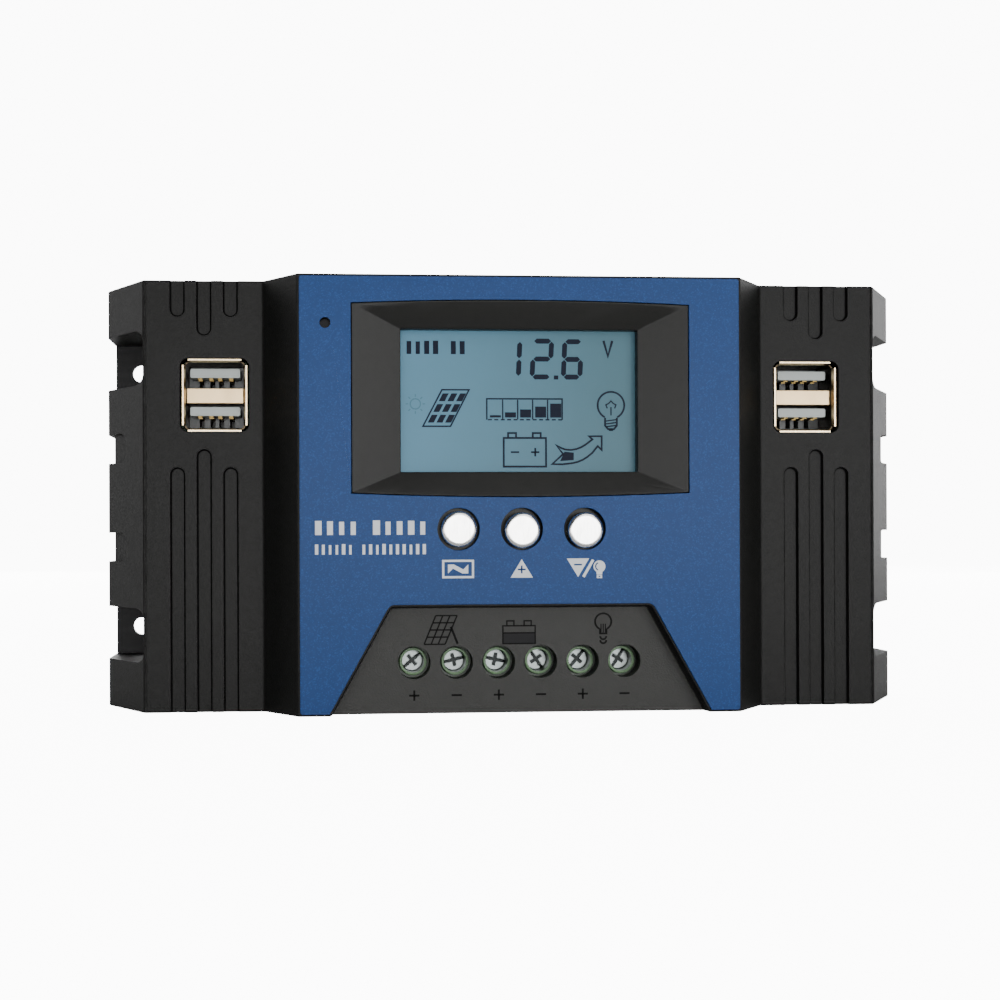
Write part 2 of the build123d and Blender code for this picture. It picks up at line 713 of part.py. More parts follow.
def inductor_pieces():
    x, z = COIL
    inner, outer = COIL_R
    low = BOARD_DEPTH[1] + COIL_LIFT
    core = rod(x, z, outer, low, low + COIL_TALL)
    core -= rod(x, z, inner, low - PAST, low + COIL_TALL + PAST)
    middle = Pos(x, -(low + COIL_TALL / 2), z)
    wire = Pos((inner + outer) / 2, 0, 0) * (Box(*TURN_OUTER) - Box(*TURN_INNER))
    step = 360 / COIL_TURNS
    turns = [middle * Rot(0, step * index, 0) * wire for index in range(COIL_TURNS)]
    return {"inductor_core": core, "inductor_winding": joined(turns)}


def chips():
    low = BOARD_DEPTH[1]
    wide, tall = SMALL_CHIP_HALF
    small = [
        block(centred(wide, x), (low, low + SMALL_CHIP_TALL), centred(tall, z))
        for x in SMALL_CHIP_X
        for z in SMALL_CHIP_Z
    ]
    fuses = [block(centred(FUSE_HALF, x), (low, low + FUSE_TALL), FUSE_Z) for x in FUSE_X]
    return {
        "controller_chip": block(CHIP_X, (low, low + CHIP_TALL), CHIP_Z),
        "small_chips": joined(small),
        "fuses": joined(fuses),
    }


def mosfet_pieces():
    bodies = []
    legs = []
    pad = (PLATE_THICK, PLATE_THICK + PAD_THICK)
    for index in range(FETS):
        x = FET_FIRST + FET_STEP * index
        bodies.append(block(centred(FET_HALF, x), (pad[1], FET_FRONT), FET_Z))
        for pin in (-LEG_STEP, 0, LEG_STEP):
            across = centred(LEG_HALF, x + pin)
            leg = block(across, LEG_DEPTH, (LEG_Z[0], FET_Z[0]))
            legs.append(leg + block(across, (LEG_DEPTH[0], BOARD_DEPTH[0]), LEG_Z))
    return {
        "thermal_pad": block(centred(PAD_HALF), pad, PAD_Z),
        "mosfet_bodies": joined(bodies),
        "mosfet_legs": joined(legs),
    }


# ---- back plate and fasteners --------------------------------------------------------------------
def back_plate():
    plate = forward(RectangleRounded(WIDTH, HEIGHT, PLATE_R), 0, PLATE_THICK)
    through = PLATE_THICK + PAST
    for side, level in corners():
        plate -= rod(side * MOUNT_X, level * MOUNT_Z, MOUNT_HOLE_R, -PAST, through)
    for x, z in BOSSES:
        plate -= rod(x, z, SCREW_M3_CLEAR, -PAST, through)
        plate -= countersink(x, z, SINK_R)
    return plate


def countersink(x, z, radius):
    """A 90-degree cone whose wide end lies in the back plane."""
    depth = radius - BOSS_CORE
    cone = Cone(radius, BOSS_CORE, depth)
    return Pos(x, -depth / 2, z) * Rot(90, 0, 0) * cone


def cross_recess(x, z, depth):
    long, deep, wide = DRIVE
    arms = Box(long, deep, wide) + Box(wide, deep, long)
    return Pos(x, -depth, z) * arms


def back_screws():
    screws = []
    for x, z in BOSSES:
        screw = countersink(x, z, HEAD_SINK_R)
        screw += rod(x, z, BOSS_CORE, HEAD_SINK_R / 3, BACK_SCREW_LONG)
        screws.append(screw - cross_recess(x, z, 0))
    return joined(screws)


def board_fasteners():
    posts = []
    screws = []
    low, high = BOARD_DEPTH
    for x, z in POSTS:
        hexagon = Pos(x, z) * RegularPolygon(POST_R, 6)
        bore = rod(x, z, BOSS_CORE, POST_HOLE_BACK, low + PAST)
        posts.append(forward(hexagon, PLATE_THICK, low) - bore)
        head = rod(x, z, BOARD_HEAD_R, high, high + BOARD_HEAD_TALL)
        head += rod(x, z, BOSS_CORE, BOARD_SCREW_TIP, high + TOUCH)
        screws.append(head - cross_recess(x, z, high + BOARD_HEAD_TALL))
    heads = []
    low, high = SUB_DEPTH
    for x, z in SUB_POSTS:
        head = rod(x, z, SUB_HEAD_R, low - SUB_HEAD_TALL, low)
        heads.append(head + rod(x, z, SUB_CORE, low - TOUCH, high + SUB_SCREW_LONG))
    return {
        "board_posts": joined(posts),
        "board_screws": joined(screws),
        "display_screws": joined(heads),
    }


def all_pieces():
    pieces = {
        "front_housing": front_housing(),
        "front_overlay": front_overlay(),
        "lcd_bezel": lcd_bezel(),
        "main_board": main_board(),
        "display_board": display_board(),
        "board_link": board_link(),
        "capacitors": capacitors(),
        "back_plate": back_plate(),
        "back_screws": back_screws(),
    }
    for group in (
        display_pieces(),
        button_pieces(),
        status_pieces(),
        terminal_pieces(),
        usb_pieces(),
        inductor_pieces(),
        chips(),
        mosfet_pieces(),
        board_fasteners(),
    ):
        pieces.update(group)
    return pieces


os.makedirs("parts", exist_ok=True)
for node, shape in all_pieces().items():
    export_step(shape, f"parts/{node}.step")
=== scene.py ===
"""Looks of the charge controller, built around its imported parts.

Sizes are in metres, and places on the controller are in millimetres where that is said.
"""

import json
import math

import bmesh
import bpy
from bpy.props import FloatProperty, FloatVectorProperty, IntProperty, PointerProperty
from mathutils import Matrix, Vector

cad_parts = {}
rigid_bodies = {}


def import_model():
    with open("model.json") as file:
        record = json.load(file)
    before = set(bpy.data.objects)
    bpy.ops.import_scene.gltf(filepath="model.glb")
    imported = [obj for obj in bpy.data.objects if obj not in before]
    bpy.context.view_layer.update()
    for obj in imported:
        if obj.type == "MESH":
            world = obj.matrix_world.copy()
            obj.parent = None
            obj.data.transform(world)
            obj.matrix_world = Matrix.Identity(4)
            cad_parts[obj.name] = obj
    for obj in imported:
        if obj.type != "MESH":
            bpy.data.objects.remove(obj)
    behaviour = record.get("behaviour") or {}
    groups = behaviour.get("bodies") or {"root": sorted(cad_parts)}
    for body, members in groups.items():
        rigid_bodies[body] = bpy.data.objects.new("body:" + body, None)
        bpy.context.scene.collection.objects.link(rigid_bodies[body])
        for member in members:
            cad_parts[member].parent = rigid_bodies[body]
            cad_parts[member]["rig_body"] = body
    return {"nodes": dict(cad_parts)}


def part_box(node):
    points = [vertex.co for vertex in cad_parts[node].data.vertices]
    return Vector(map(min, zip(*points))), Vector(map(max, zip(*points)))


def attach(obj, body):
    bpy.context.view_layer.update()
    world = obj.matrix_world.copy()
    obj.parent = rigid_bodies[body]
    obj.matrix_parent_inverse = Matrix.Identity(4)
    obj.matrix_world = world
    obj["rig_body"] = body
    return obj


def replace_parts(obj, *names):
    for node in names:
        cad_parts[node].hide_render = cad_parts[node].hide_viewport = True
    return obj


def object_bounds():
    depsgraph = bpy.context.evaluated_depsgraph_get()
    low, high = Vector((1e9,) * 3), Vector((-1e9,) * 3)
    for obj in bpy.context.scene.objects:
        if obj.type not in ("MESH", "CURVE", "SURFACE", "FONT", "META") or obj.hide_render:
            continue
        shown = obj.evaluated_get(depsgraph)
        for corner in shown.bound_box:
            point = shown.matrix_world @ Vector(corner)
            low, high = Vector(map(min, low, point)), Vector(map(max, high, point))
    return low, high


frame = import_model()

bl_info = {
    "name": "Charge controller looks",
    "version": (1, 0, 0),
    "blender": (4, 5, 0),
    "location": "3D View > Sidebar > Controller",
    "description": "Finishes, prints, display marks and stage for the charge controller",
    "category": "Object",
}

CAD_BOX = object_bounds()
NODES = frame["nodes"]
MM = 0.001
ROOT = "controller"             # the body that everything fixed rides on

WELD = 2e-6                     # points of a CAD mesh nearer than this are one point
FLAT = math.radians(0.5)        # faces that differ by less than this are merged
BEVEL_FROM = math.radians(32)   # edges sharper than this are rounded
BEVEL_STEPS = 2
MITRE_LEAST = 0.45              # keeps a stroke's sharp corners from reaching too far

FINISH_END = "_finish"          # keeps a finish apart from the CAD material of the same name
ROUGH_SPREAD = 0.05             # how far the grain moves a finish's roughness
EDGE_LIGHTENING_TONE = 0.10              # how much lighter an edge is: partly rubbed wear, partly a painted highlight
DUST = (0.42, 0.41, 0.39, 1.0)


def depth_of(node):
    """How far a CAD node stands forward of the back face, in millimetres."""
    return -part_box(node)[0].y / MM


# Places are in millimetres: across and up from the middle, and forward of the back face.
FACE = depth_of("front_overlay")
SCREEN = depth_of("lcd_polariser")
SUNK = 0.01                     # how far a mark reaches into its face
PANEL = 42.0                    # floor of the terminal recess
PANEL_HALF = 50.0
PANEL_TOP = -24.5
WELLS = 6
WELL_FIRST = -23.75
WELL_PITCH = 9.5
POLARITY_Z = -44.7
EDGE_Z = 48.6                   # where the grooves run out, just inside the wing's edge
GROOVE_FLOOR = 33.9
GROOVE_HALF = 1.7
GROOVE_LINE = 0.38              # width of the shadow line along a groove's sides
GROOVES = ((64.6, 40.5, 6.6), (70.55, 36.3, 10.7), (76.5, 40.5, 6.6))   # x, upper end, lower end
DIGIT_GAP = 0.12
DIGIT_SLANT = 0.05
LIT = {"1": "bc", "2": "abged", "6": "afgecd"}      # bars that are on, lettered clockwise from the top

# The stage is in metres and degrees.
CAMERA_PLACE = (-0.04702, -0.38953, -0.00849)
CAMERA_TURN = (90.12, 0.21, -4.4296)
CAMERA_SHIFT = (0.07, 0.03)
MIDDLE = (0, -0.03, 0)
LIGHTS = (                      # name, power setting, place, aim, size
    ("key", "key", (0.30, -0.75, 0.85), MIDDLE, (0.9, 0.5)),
    ("front_panel", "front", (0.40, -1.3, 0.10), MIDDLE, (1.3, 1.1)),
    ("low_fill", "low", (0.0, -0.42, -0.046), (0, -0.04, 0.02), (0.7, 0.2)),
    ("side_panel", "side", (0.80, 0.97, 0.05), (0.09, 0, 0), (0.42, 0.9)),
    ("left_panel", "left", (-0.86, 0.92, 0.0), (-0.09, 0, 0), (0.4, 0.9)),
    ("back_panel", "back", (-0.1, 1.25, 0.45), MIDDLE, (1.3, 0.8)),
    ("left_flank_panel", "flank", (-1.15, 0.42, 0.35), MIDDLE, (0.6, 0.7)),
    ("right_flank_panel", "flank", (1.15, 0.42, 0.35), MIDDLE, (0.6, 0.7)),
)


# ---- settings ------------------------------------------------------------------------------------
class ControllerSizes(bpy.types.PropertyGroup):
    """Sizes of the edges and marks."""

    edge_round: FloatProperty(
        name="Edge rounding", description="Radius of the small moulded edges",
        default=0.16 * MM, min=0, unit="LENGTH", precision=5,
    )
    raised: FloatProperty(
        name="Print thickness", description="How far printed marks stand off their face",
        default=0.04 * MM, min=0.00001, unit="LENGTH", precision=5,
    )
    icon_stroke: FloatProperty(
        name="Icon stroke", description="Line width of the symbols under the buttons",
        default=0.47 * MM, min=0, unit="LENGTH", precision=5,
    )
    panel_stroke: FloatProperty(
        name="Terminal symbol stroke", description="Line width of the symbols above the terminals",
        default=0.3 * MM, min=0, unit="LENGTH", precision=5,
    )
    display_stroke: FloatProperty(
        name="Display stroke", description="Line width of the display's symbols",
        default=0.42 * MM, min=0, unit="LENGTH", precision=5,
    )
    digit_stroke: FloatProperty(
        name="Digit stroke", description="Width of the display's digit segments",
        default=1.12 * MM, min=0, unit="LENGTH", precision=5,
    )
    caption_seed: IntProperty(
        name="Caption seed", description="Picks the widths of the caption's plain bars", default=7
    )


class ControllerColours(bpy.types.PropertyGroup):
    """Main colours."""

    housing: FloatVectorProperty(
        name="Housing", description="Moulded housing", subtype="COLOR",
        default=(0.006, 0.006, 0.0057), min=0, max=1,
    )
    bezel: FloatVectorProperty(
        name="Bezel", description="Frame around the display", subtype="COLOR",
        default=(0.009, 0.009, 0.0084), min=0, max=1,
    )
    overlay: FloatVectorProperty(
        name="Overlay", description="Printed front sheet", subtype="COLOR",
        default=(0.0035, 0.031, 0.120), min=0, max=1,
    )
    print_white: FloatVectorProperty(
        name="White print", description="Symbols on the front sheet", subtype="COLOR",
        default=(0.50, 0.52, 0.54), min=0, max=1,
    )
    display_lit: FloatVectorProperty(
        name="Display, lit side", description="Display where the light reaches it", subtype="COLOR",
        default=(0.068, 0.185, 0.270), min=0, max=1,
    )
    display_shade: FloatVectorProperty(
        name="Display, far side", description="Display away from the light", subtype="COLOR",
        default=(0.040, 0.102, 0.132), min=0, max=1,
    )
    segment: FloatVectorProperty(
        name="Segments", description="Display segments that are on", subtype="COLOR",
        default=(0.003, 0.006, 0.016), min=0, max=1,
    )
    terminal: FloatVectorProperty(
        name="Terminals", description="Terminal block", subtype="COLOR",
        default=(0.045, 0.115, 0.034), min=0, max=1,
    )


class ControllerStage(bpy.types.PropertyGroup):
    """Floor, lights and camera."""

    floor_radius: FloatProperty(
        name="Floor radius", description="Radius of the floor", default=4.0, min=0.5, unit="LENGTH"
    )
    white: FloatProperty(
        name="Surroundings", description="Brightness that the camera sees around the object",
        default=11.0, min=0,
    )
    ambient: FloatProperty(
        name="Ambient", description="Light that comes from all sides", default=0.05, min=0
    )
    key: FloatProperty(
        name="Key light", description="Large soft light above and in front", default=3.6, min=0,
        unit="POWER",
    )
    front: FloatProperty(
        name="Front fill", description="Soft light beside the camera", default=15.0, min=0,
        unit="POWER",
    )
    low: FloatProperty(
        name="Low fill", description="Soft light that the table throws up from in front", default=3.0,
        min=0, unit="POWER",
    )
    side: FloatProperty(
        name="Side light", description="Panel behind and to the right", default=5.4, min=0,
        unit="POWER",
    )
    left: FloatProperty(
        name="Left light", description="Weak panel behind and to the left", default=0.8, min=0,
        unit="POWER",
    )
    back: FloatProperty(
        name="Back light", description="Soft light behind the object", default=14.0, min=0,
        unit="POWER",
    )
    flank: FloatProperty(
        name="Flank lights", description="Soft lights beyond both ends", default=3.0, min=0,
        unit="POWER",
    )
    lens: FloatProperty(name="Lens", description="Focal length", default=56.178, min=1, unit="CAMERA")


# ---- node helpers --------------------------------------------------------------------------------
def put(tree, kind, inputs=None, **settings):
    """Adds a node; an input's value is a number, a colour or another node's socket."""
    node = tree.nodes.new(kind)
    for name, value in settings.items():
        setattr(node, name, value)
    for name, value in (inputs or {}).items():
        if isinstance(value, bpy.types.NodeSocket):
            tree.links.new(value, node.inputs[name])
        else:
            node.inputs[name].default_value = value
    return node


def math_node(tree, operation, *values):
    """The result of one sum, product or comparison."""
    return put(tree, "ShaderNodeMath", dict(enumerate(values)), operation=operation).outputs[0]


def spread(tree, value, low, high, new_low=0.0, new_high=1.0):
    """Value remapped and held between the new limits."""
    names = {"Value": value, "From Min": low, "From Max": high, "To Min": new_low, "To Max": new_high}
    return put(tree, "ShaderNodeMapRange", names).outputs["Result"]


def blended(tree, share, first, second, blend="MIX"):
    """Two colours mixed."""
    inputs = {0: share, 6: first, 7: second}
    return put(tree, "ShaderNodeMix", inputs, data_type="RGBA", blend_type=blend).outputs[2]


def rgba(colour, gain=1.0):
    """A colour made lighter or darker, with its alpha."""
    return tuple(min(1.0, part * gain) for part in colour[:3]) + (1.0,)


def group_tree(name, kind, inputs, outputs):
    """A new node group and its input sockets; inputs are (name, type, default)."""
    tree = bpy.data.node_groups.new(name, kind)
    for label, socket, default in inputs:
        made = tree.interface.new_socket(label, in_out="INPUT", socket_type=socket)
        if default is not None:
            made.default_value = default
    for label, socket in outputs:
        tree.interface.new_socket(label, in_out="OUTPUT", socket_type=socket)
    entry = tree.nodes.new("NodeGroupInput").outputs
    leave = tree.nodes.new("NodeGroupOutput").inputs
    return tree, entry, leave


def grain_group():
    """Fine texture: its height, a slow change of tone, and small bright specks."""
    tree, entry, leave = group_tree(
        "surface_grain", "ShaderNodeTree",
        [("Place", "NodeSocketVector", None), ("Scale", "NodeSocketFloat", 2500.0),
         ("Speck size", "NodeSocketFloat", 0.6)],
        [("Height", "NodeSocketFloat"), ("Tone", "NodeSocketFloat"), ("Specks", "NodeSocketFloat")],
    )
    fine = put(tree, "ShaderNodeTexNoise", {
        "Vector": entry["Place"], "Scale": entry["Scale"], "Detail": 3.0, "Roughness": 0.6})
    slow = put(tree, "ShaderNodeTexNoise", {
        "Vector": entry["Place"], "Scale": 38.0, "Detail": 4.0, "Roughness": 0.55})
    dots = put(tree, "ShaderNodeTexVoronoi", {"Vector": entry["Place"], "Scale": entry["Scale"]})
    lit = put(tree, "ShaderNodeSeparateColor", {"Color": dots.outputs["Color"]}).outputs[0]
    tree.links.new(fine.outputs[0], leave["Height"])
    tree.links.new(spread(tree, slow.outputs[0], 0.3, 0.7), leave["Tone"])
    tree.links.new(spread(tree, lit, entry["Speck size"], 1.0), leave["Specks"])
    return tree


def lit_worn_edges_group():
    """Lighter edges, partly rubbed wear and partly a painted highlight on hollow and raised edges
    alike, and a normal that rounds them a little.
    """
    tree, entry, leave = group_tree(
        "edge_wear", "ShaderNodeTree",
        [("Place", "NodeSocketVector", None), ("Amount", "NodeSocketFloat", 0.3),
         ("Radius", "NodeSocketFloat", 0.25 * MM)],
        [("Mask", "NodeSocketFloat"), ("Rounded", "NodeSocketVector")],
    )
    rounded = put(tree, "ShaderNodeBevel", {"Radius": entry["Radius"]}, samples=4).outputs[0]
    flat = put(tree, "ShaderNodeNewGeometry").outputs["Normal"]
    match = put(tree, "ShaderNodeVectorMath", {0: rounded, 1: flat}, operation="DOT_PRODUCT")
    edge = spread(tree, match.outputs["Value"], 0.995, 0.90)
    tree.links.new(rounded, leave["Rounded"])
    patchy = put(tree, "ShaderNodeTexNoise", {
        "Vector": entry["Place"], "Scale": 420.0, "Detail": 4.0}).outputs[0]
    edge_lightening = math_node(tree, "MULTIPLY", edge, spread(tree, patchy, 0.4, 0.62))
    tree.links.new(math_node(tree, "MULTIPLY", edge_lightening, entry["Amount"]), leave["Mask"])
    return tree


def dust_group():
    """Light dust on faces that look up."""
    tree, entry, leave = group_tree(
        "settled_dust", "ShaderNodeTree",
        [("Place", "NodeSocketVector", None), ("Facing", "NodeSocketVector", None),
         ("Amount", "NodeSocketFloat", 0.1)],
        [("Mask", "NodeSocketFloat")],
    )
    up = put(tree, "ShaderNodeSeparateXYZ", {0: entry["Facing"]}).outputs["Z"]
    cloud = put(tree, "ShaderNodeTexNoise", {
        "Vector": entry["Place"], "Scale": 150.0, "Detail": 6.0, "Roughness": 0.7}).outputs[0]
    lying = math_node(tree, "MULTIPLY", spread(tree, up, 0.1, 1.0, 0.03),
                      spread(tree, cloud, 0.4, 0.8, 0.3))
    tree.links.new(math_node(tree, "MULTIPLY", lying, entry["Amount"]), leave["Mask"])
    return tree


GROUP_MAKERS = {"grain": grain_group, "wear": lit_worn_edges_group, "dust": dust_group}
GROUPS = {}


def shared_group(name):
    """The node group of that name, built when it is first asked for."""
    if name not in GROUPS:
        GROUPS[name] = GROUP_MAKERS[name]()
    return GROUPS[name]


def on_recess_floor(tree, place):
    """A mask that is 1 on the floor of the terminal recess."""
    axes = put(tree, "ShaderNodeSeparateXYZ", {0: place}).outputs
    across = math_node(tree, "LESS_THAN", math_node(tree, "ABSOLUTE", axes["X"]), PANEL_HALF * MM)
    below = math_node(tree, "LESS_THAN", axes["Z"], PANEL_TOP * MM)
    level = math_node(tree, "COMPARE", axes["Y"], -PANEL * MM, 0.5 * MM)
    return math_node(tree, "MULTIPLY", math_node(tree, "MULTIPLY", across, below), level)


def finish(name, colour, roughness, *, second=None, metallic=0.0, scale=2500.0, bump=0.0, tone=0.12,
           specks=0.0, speck_size=0.6, wear=0.0, dust=0.0, stretch=(1, 1, 1), specular=0.5,
           coat=0.0, gradient=None, floor_tone=None, painted_shade_depth=None, painted_shade_tone=0.1):
    """A surface whose colour, roughness and bump follow one grain.

    second is the colour of the light patches, gradient an axis with its two ends, floor_tone the
    colour of the terminal recess's floor, and painted_shade_depth the depth in millimetres behind
    which the colour falls to painted_shade_tone of itself: painted shade in hollows. bump is in
    millimetres.
    """
    made = bpy.data.materials.new(name + FINISH_END)
    made.use_nodes = True
    made.diffuse_color = rgba(colour)
    tree = made.node_tree
    shader = tree.nodes["Principled BSDF"]
    where = put(tree, "ShaderNodeTexCoord").outputs
    place = put(tree, "ShaderNodeMapping", {"Vector": where["Object"], "Scale": stretch}).outputs[0]
    grain = put(tree, "ShaderNodeGroup", node_tree=shared_group("grain"))
    tree.links.new(place, grain.inputs["Place"])
    grain.inputs["Scale"].default_value = scale
    grain.inputs["Speck size"].default_value = speck_size
    dark, light = rgba(colour, 1 - tone), rgba(second or colour, 1 + tone)
    share = grain.outputs["Tone"]
    if gradient:
        axis, low, high = gradient
        along = put(tree, "ShaderNodeSeparateXYZ", {0: where["Object"]}).outputs[axis]
        share = math_node(tree, "ADD", spread(tree, along, low, high, 0.0, 0.9),
                          math_node(tree, "MULTIPLY", grain.outputs["Tone"], 0.1))
    base = blended(tree, share, dark, light)
    if floor_tone:
        there = on_recess_floor(tree, where["Object"])
        base = blended(tree, there, base, rgba(floor_tone))
    if specks:
        amount = math_node(tree, "MULTIPLY", grain.outputs["Specks"], specks)
        base = blended(tree, amount, base, rgba(second or colour, 3.2))
    # Painted shade: behind the given depth the colour falls towards black, standing in for the shade in
    # wells, screw slots, sockets and round the sides of the button caps.
    if painted_shade_depth:
        far = put(tree, "ShaderNodeSeparateXYZ", {0: where["Object"]}).outputs["Y"]
        behind = spread(tree, far, -(painted_shade_depth + 0.12) * MM, -painted_shade_depth * MM)
        base = blended(tree, behind, base, rgba(colour, painted_shade_tone))
    rounded = None
    # Edges are made lighter: partly rubbed wear, partly a painted highlight, since hollow edges are
    # lightened as much as raised ones.
    if wear:
        edge_lightening = put(tree, "ShaderNodeGroup", node_tree=shared_group("wear"))
        tree.links.new(place, edge_lightening.inputs["Place"])
        edge_lightening.inputs["Amount"].default_value = wear
        base = blended(tree, edge_lightening.outputs[0], base, rgba([EDGE_LIGHTENING_TONE + 2 * part for part in colour]))
        rounded = edge_lightening.outputs["Rounded"]
    if dust:
        settled = put(tree, "ShaderNodeGroup", node_tree=shared_group("dust"))
        tree.links.new(place, settled.inputs["Place"])
        tree.links.new(where["Normal"], settled.inputs["Facing"])
        settled.inputs["Amount"].default_value = dust
        base = blended(tree, settled.outputs[0], base, DUST)
    tree.links.new(base, shader.inputs["Base Color"])
    rough = spread(tree, grain.outputs["Height"], 0.3, 0.7,
                   roughness - ROUGH_SPREAD, roughness + ROUGH_SPREAD)
    tree.links.new(rough, shader.inputs["Roughness"])
    if bump:
        relief = put(tree, "ShaderNodeBump", {
            "Height": grain.outputs["Height"], "Strength": 1.0, "Distance": bump * MM})
        if rounded:
            tree.links.new(rounded, relief.inputs["Normal"])
        tree.links.new(relief.outputs[0], shader.inputs["Normal"])
    shader.inputs["Metallic"].default_value = metallic
    shader.inputs["Specular IOR Level"].default_value = specular
    shader.inputs["Coat Weight"].default_value = coat
    return made


LOOKS = {}


def palette(context):
    """Every finish by its name, made when they are first asked for."""
    if not LOOKS:
        LOOKS.update(all_finishes(context.scene.controller_colours))
    return LOOKS


def all_finishes(colours):
    """Every finish of the controller, by name."""
    steel = dict(metallic=1.0, scale=1800.0, bump=0.004, tone=0.10)
    made = (
        finish("housing_black", colours.housing, 0.46, scale=2600, bump=0.06, tone=0.12,
               specks=0.04, speck_size=0.9, wear=0.2, dust=0.03, specular=0.14,
               floor_tone=(0.029, 0.029, 0.0275)),
        finish("overlay_blue", colours.overlay, 0.42, scale=4200, bump=0.004, tone=0.04,
               specks=0.22, speck_size=0.72, wear=0.2, dust=0.02, specular=0.16),
        finish("bezel_black", colours.bezel, 0.44, scale=3200, bump=0.006, tone=0.05,
               wear=0.2, dust=0.02, specular=0.2),
        finish("lcd_front", colours.display_lit, 0.32, second=colours.display_shade,
               scale=2600, bump=0.001, tone=0.03, gradient=("X", -0.026, 0.020),
               specular=0.15),
        finish("lcd_glass", (0.16, 0.22, 0.22), 0.1, tone=0.05, specular=0.5),
        finish("white_plastic", (0.74, 0.74, 0.71), 0.38, scale=1500, bump=0.003),
        # The caps' sides below the button face are painted in shade.
        finish("button_chrome", (1.0, 0.99, 0.96), 0.24, metallic=1.0, scale=2600,
               bump=0.0015, tone=0.03, stretch=(1.0, 1.0, 0.12), painted_shade_depth=46.6,
               painted_shade_tone=0.01),
        finish("light_pipe", (0.004, 0.004, 0.005), 0.3, bump=0.001, specular=0.1),
        # The terminal block is painted darker down in its wells, as shade.
        finish("terminal_green", colours.terminal, 0.34, scale=1500, bump=0.006,
               tone=0.15, wear=0.3, specular=0.5, painted_shade_depth=37.2, painted_shade_tone=0.25),
        # The screw slots and cross are painted in shade.
        finish("screw_steel", (0.24, 0.265, 0.26), 0.32, wear=0.6, painted_shade_depth=33.82,
               painted_shade_tone=0.08, **steel),
        finish("fastener_steel", (0.6, 0.61, 0.62), 0.3, wear=0.2, **steel),
        finish("cage_steel", (0.6, 0.6, 0.6), 0.35, stretch=(1, 1, 6), **steel),
        finish("tin_copper", (0.72, 0.70, 0.66), 0.3, **steel),
        # These three socket finishes paint shade inside the sockets: the shell's inside, the bridge,
        # and the insulator behind the tongues.
        finish("usb_shell", (0.80, 0.63, 0.40), 0.3, stretch=(1, 6, 1), painted_shade_depth=33.3,
               painted_shade_tone=0.06, **steel),
        finish("usb_bridge", (0.50, 0.37, 0.21), 0.34, stretch=(6, 1, 1), painted_shade_depth=31.6,
               painted_shade_tone=0.1, wear=0.3, **steel),
        finish("usb_plastic", (0.27, 0.30, 0.29), 0.4, scale=1800, bump=0.003,
               painted_shade_depth=25.5, painted_shade_tone=0.12),
        finish("gold", (0.20, 0.14, 0.05), 0.3, **steel),
        finish("board_green", (0.02, 0.12, 0.045), 0.3, scale=900, bump=0.01,
               second=(0.03, 0.15, 0.06), specks=0.06, coat=0.3),
        finish("can_dark", (0.02, 0.02, 0.035), 0.3, scale=700, bump=0.004),
        finish("ferrite", (0.06, 0.065, 0.065), 0.6, scale=1300, bump=0.03, tone=0.2),
        finish("copper_wire", (0.62, 0.24, 0.10), 0.25, metallic=1.0, bump=0.003),
        finish("chip_black", (0.016, 0.016, 0.017), 0.5, scale=2200, bump=0.012),
        finish("fuse_orange", (0.75, 0.20, 0.03), 0.3, bump=0.003),
        finish("pad_grey", (0.40, 0.41, 0.44), 0.8, scale=1800, bump=0.02, specks=0.06),
        finish("plate_aluminium", (0.0055, 0.0055, 0.006), 0.42, metallic=0.1,
               scale=900, bump=0.003, stretch=(0.06, 1, 1), tone=0.14, wear=0.5,
               dust=0.02, specular=0.14),
        finish("black_screw", (0.03, 0.03, 0.03), 0.3, metallic=0.5, scale=1500,
               bump=0.005, wear=0.5),
        finish("print_white", colours.print_white, 0.5, scale=3500, bump=0.003, tone=0.04),
        finish("print_black", (0.003, 0.003, 0.003), 0.6, scale=3500, bump=0.003,
               specular=0.06),
        # Painted shadow for the lines along the grooves' steep sides.
        finish("groove_black", (0.0012, 0.0012, 0.0012), 0.7, scale=3000,
               bump=0.01, specular=0.04),
        finish("segment_navy", colours.segment, 0.4, scale=2500, tone=0.1, specular=0.06),
        finish("segment_faint", (0.048, 0.128, 0.178), 0.4, scale=2500, tone=0.1,
               specular=0.1),
        finish("print_grey", (0.014, 0.014, 0.015), 0.6, scale=3500, bump=0.003,
               specular=0.08),
    )
    return {look.name.removesuffix(FINISH_END): look for look in made}


# ---- mesh helpers --------------------------------------------------------------------------------
def spot(x, z, depth):
    """A point from millimetres across, up, and forward of the back face."""
    return Vector((x, -depth, z)) * MM


def keep(name, mesh, material, body=ROOT):
    """Turns a mesh into a finished piece that rides on a body."""
    piece = bpy.data.objects.new(name, mesh)
    bpy.context.scene.collection.objects.link(piece)
    mesh.materials.clear()
    mesh.materials.append(material)
    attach(piece, body)
    return piece


def paint(name, material):
    """Gives a CAD node a finish without touching its mesh."""
    for place in NODES[name].material_slots:
        place.link = "OBJECT"
        place.material = material


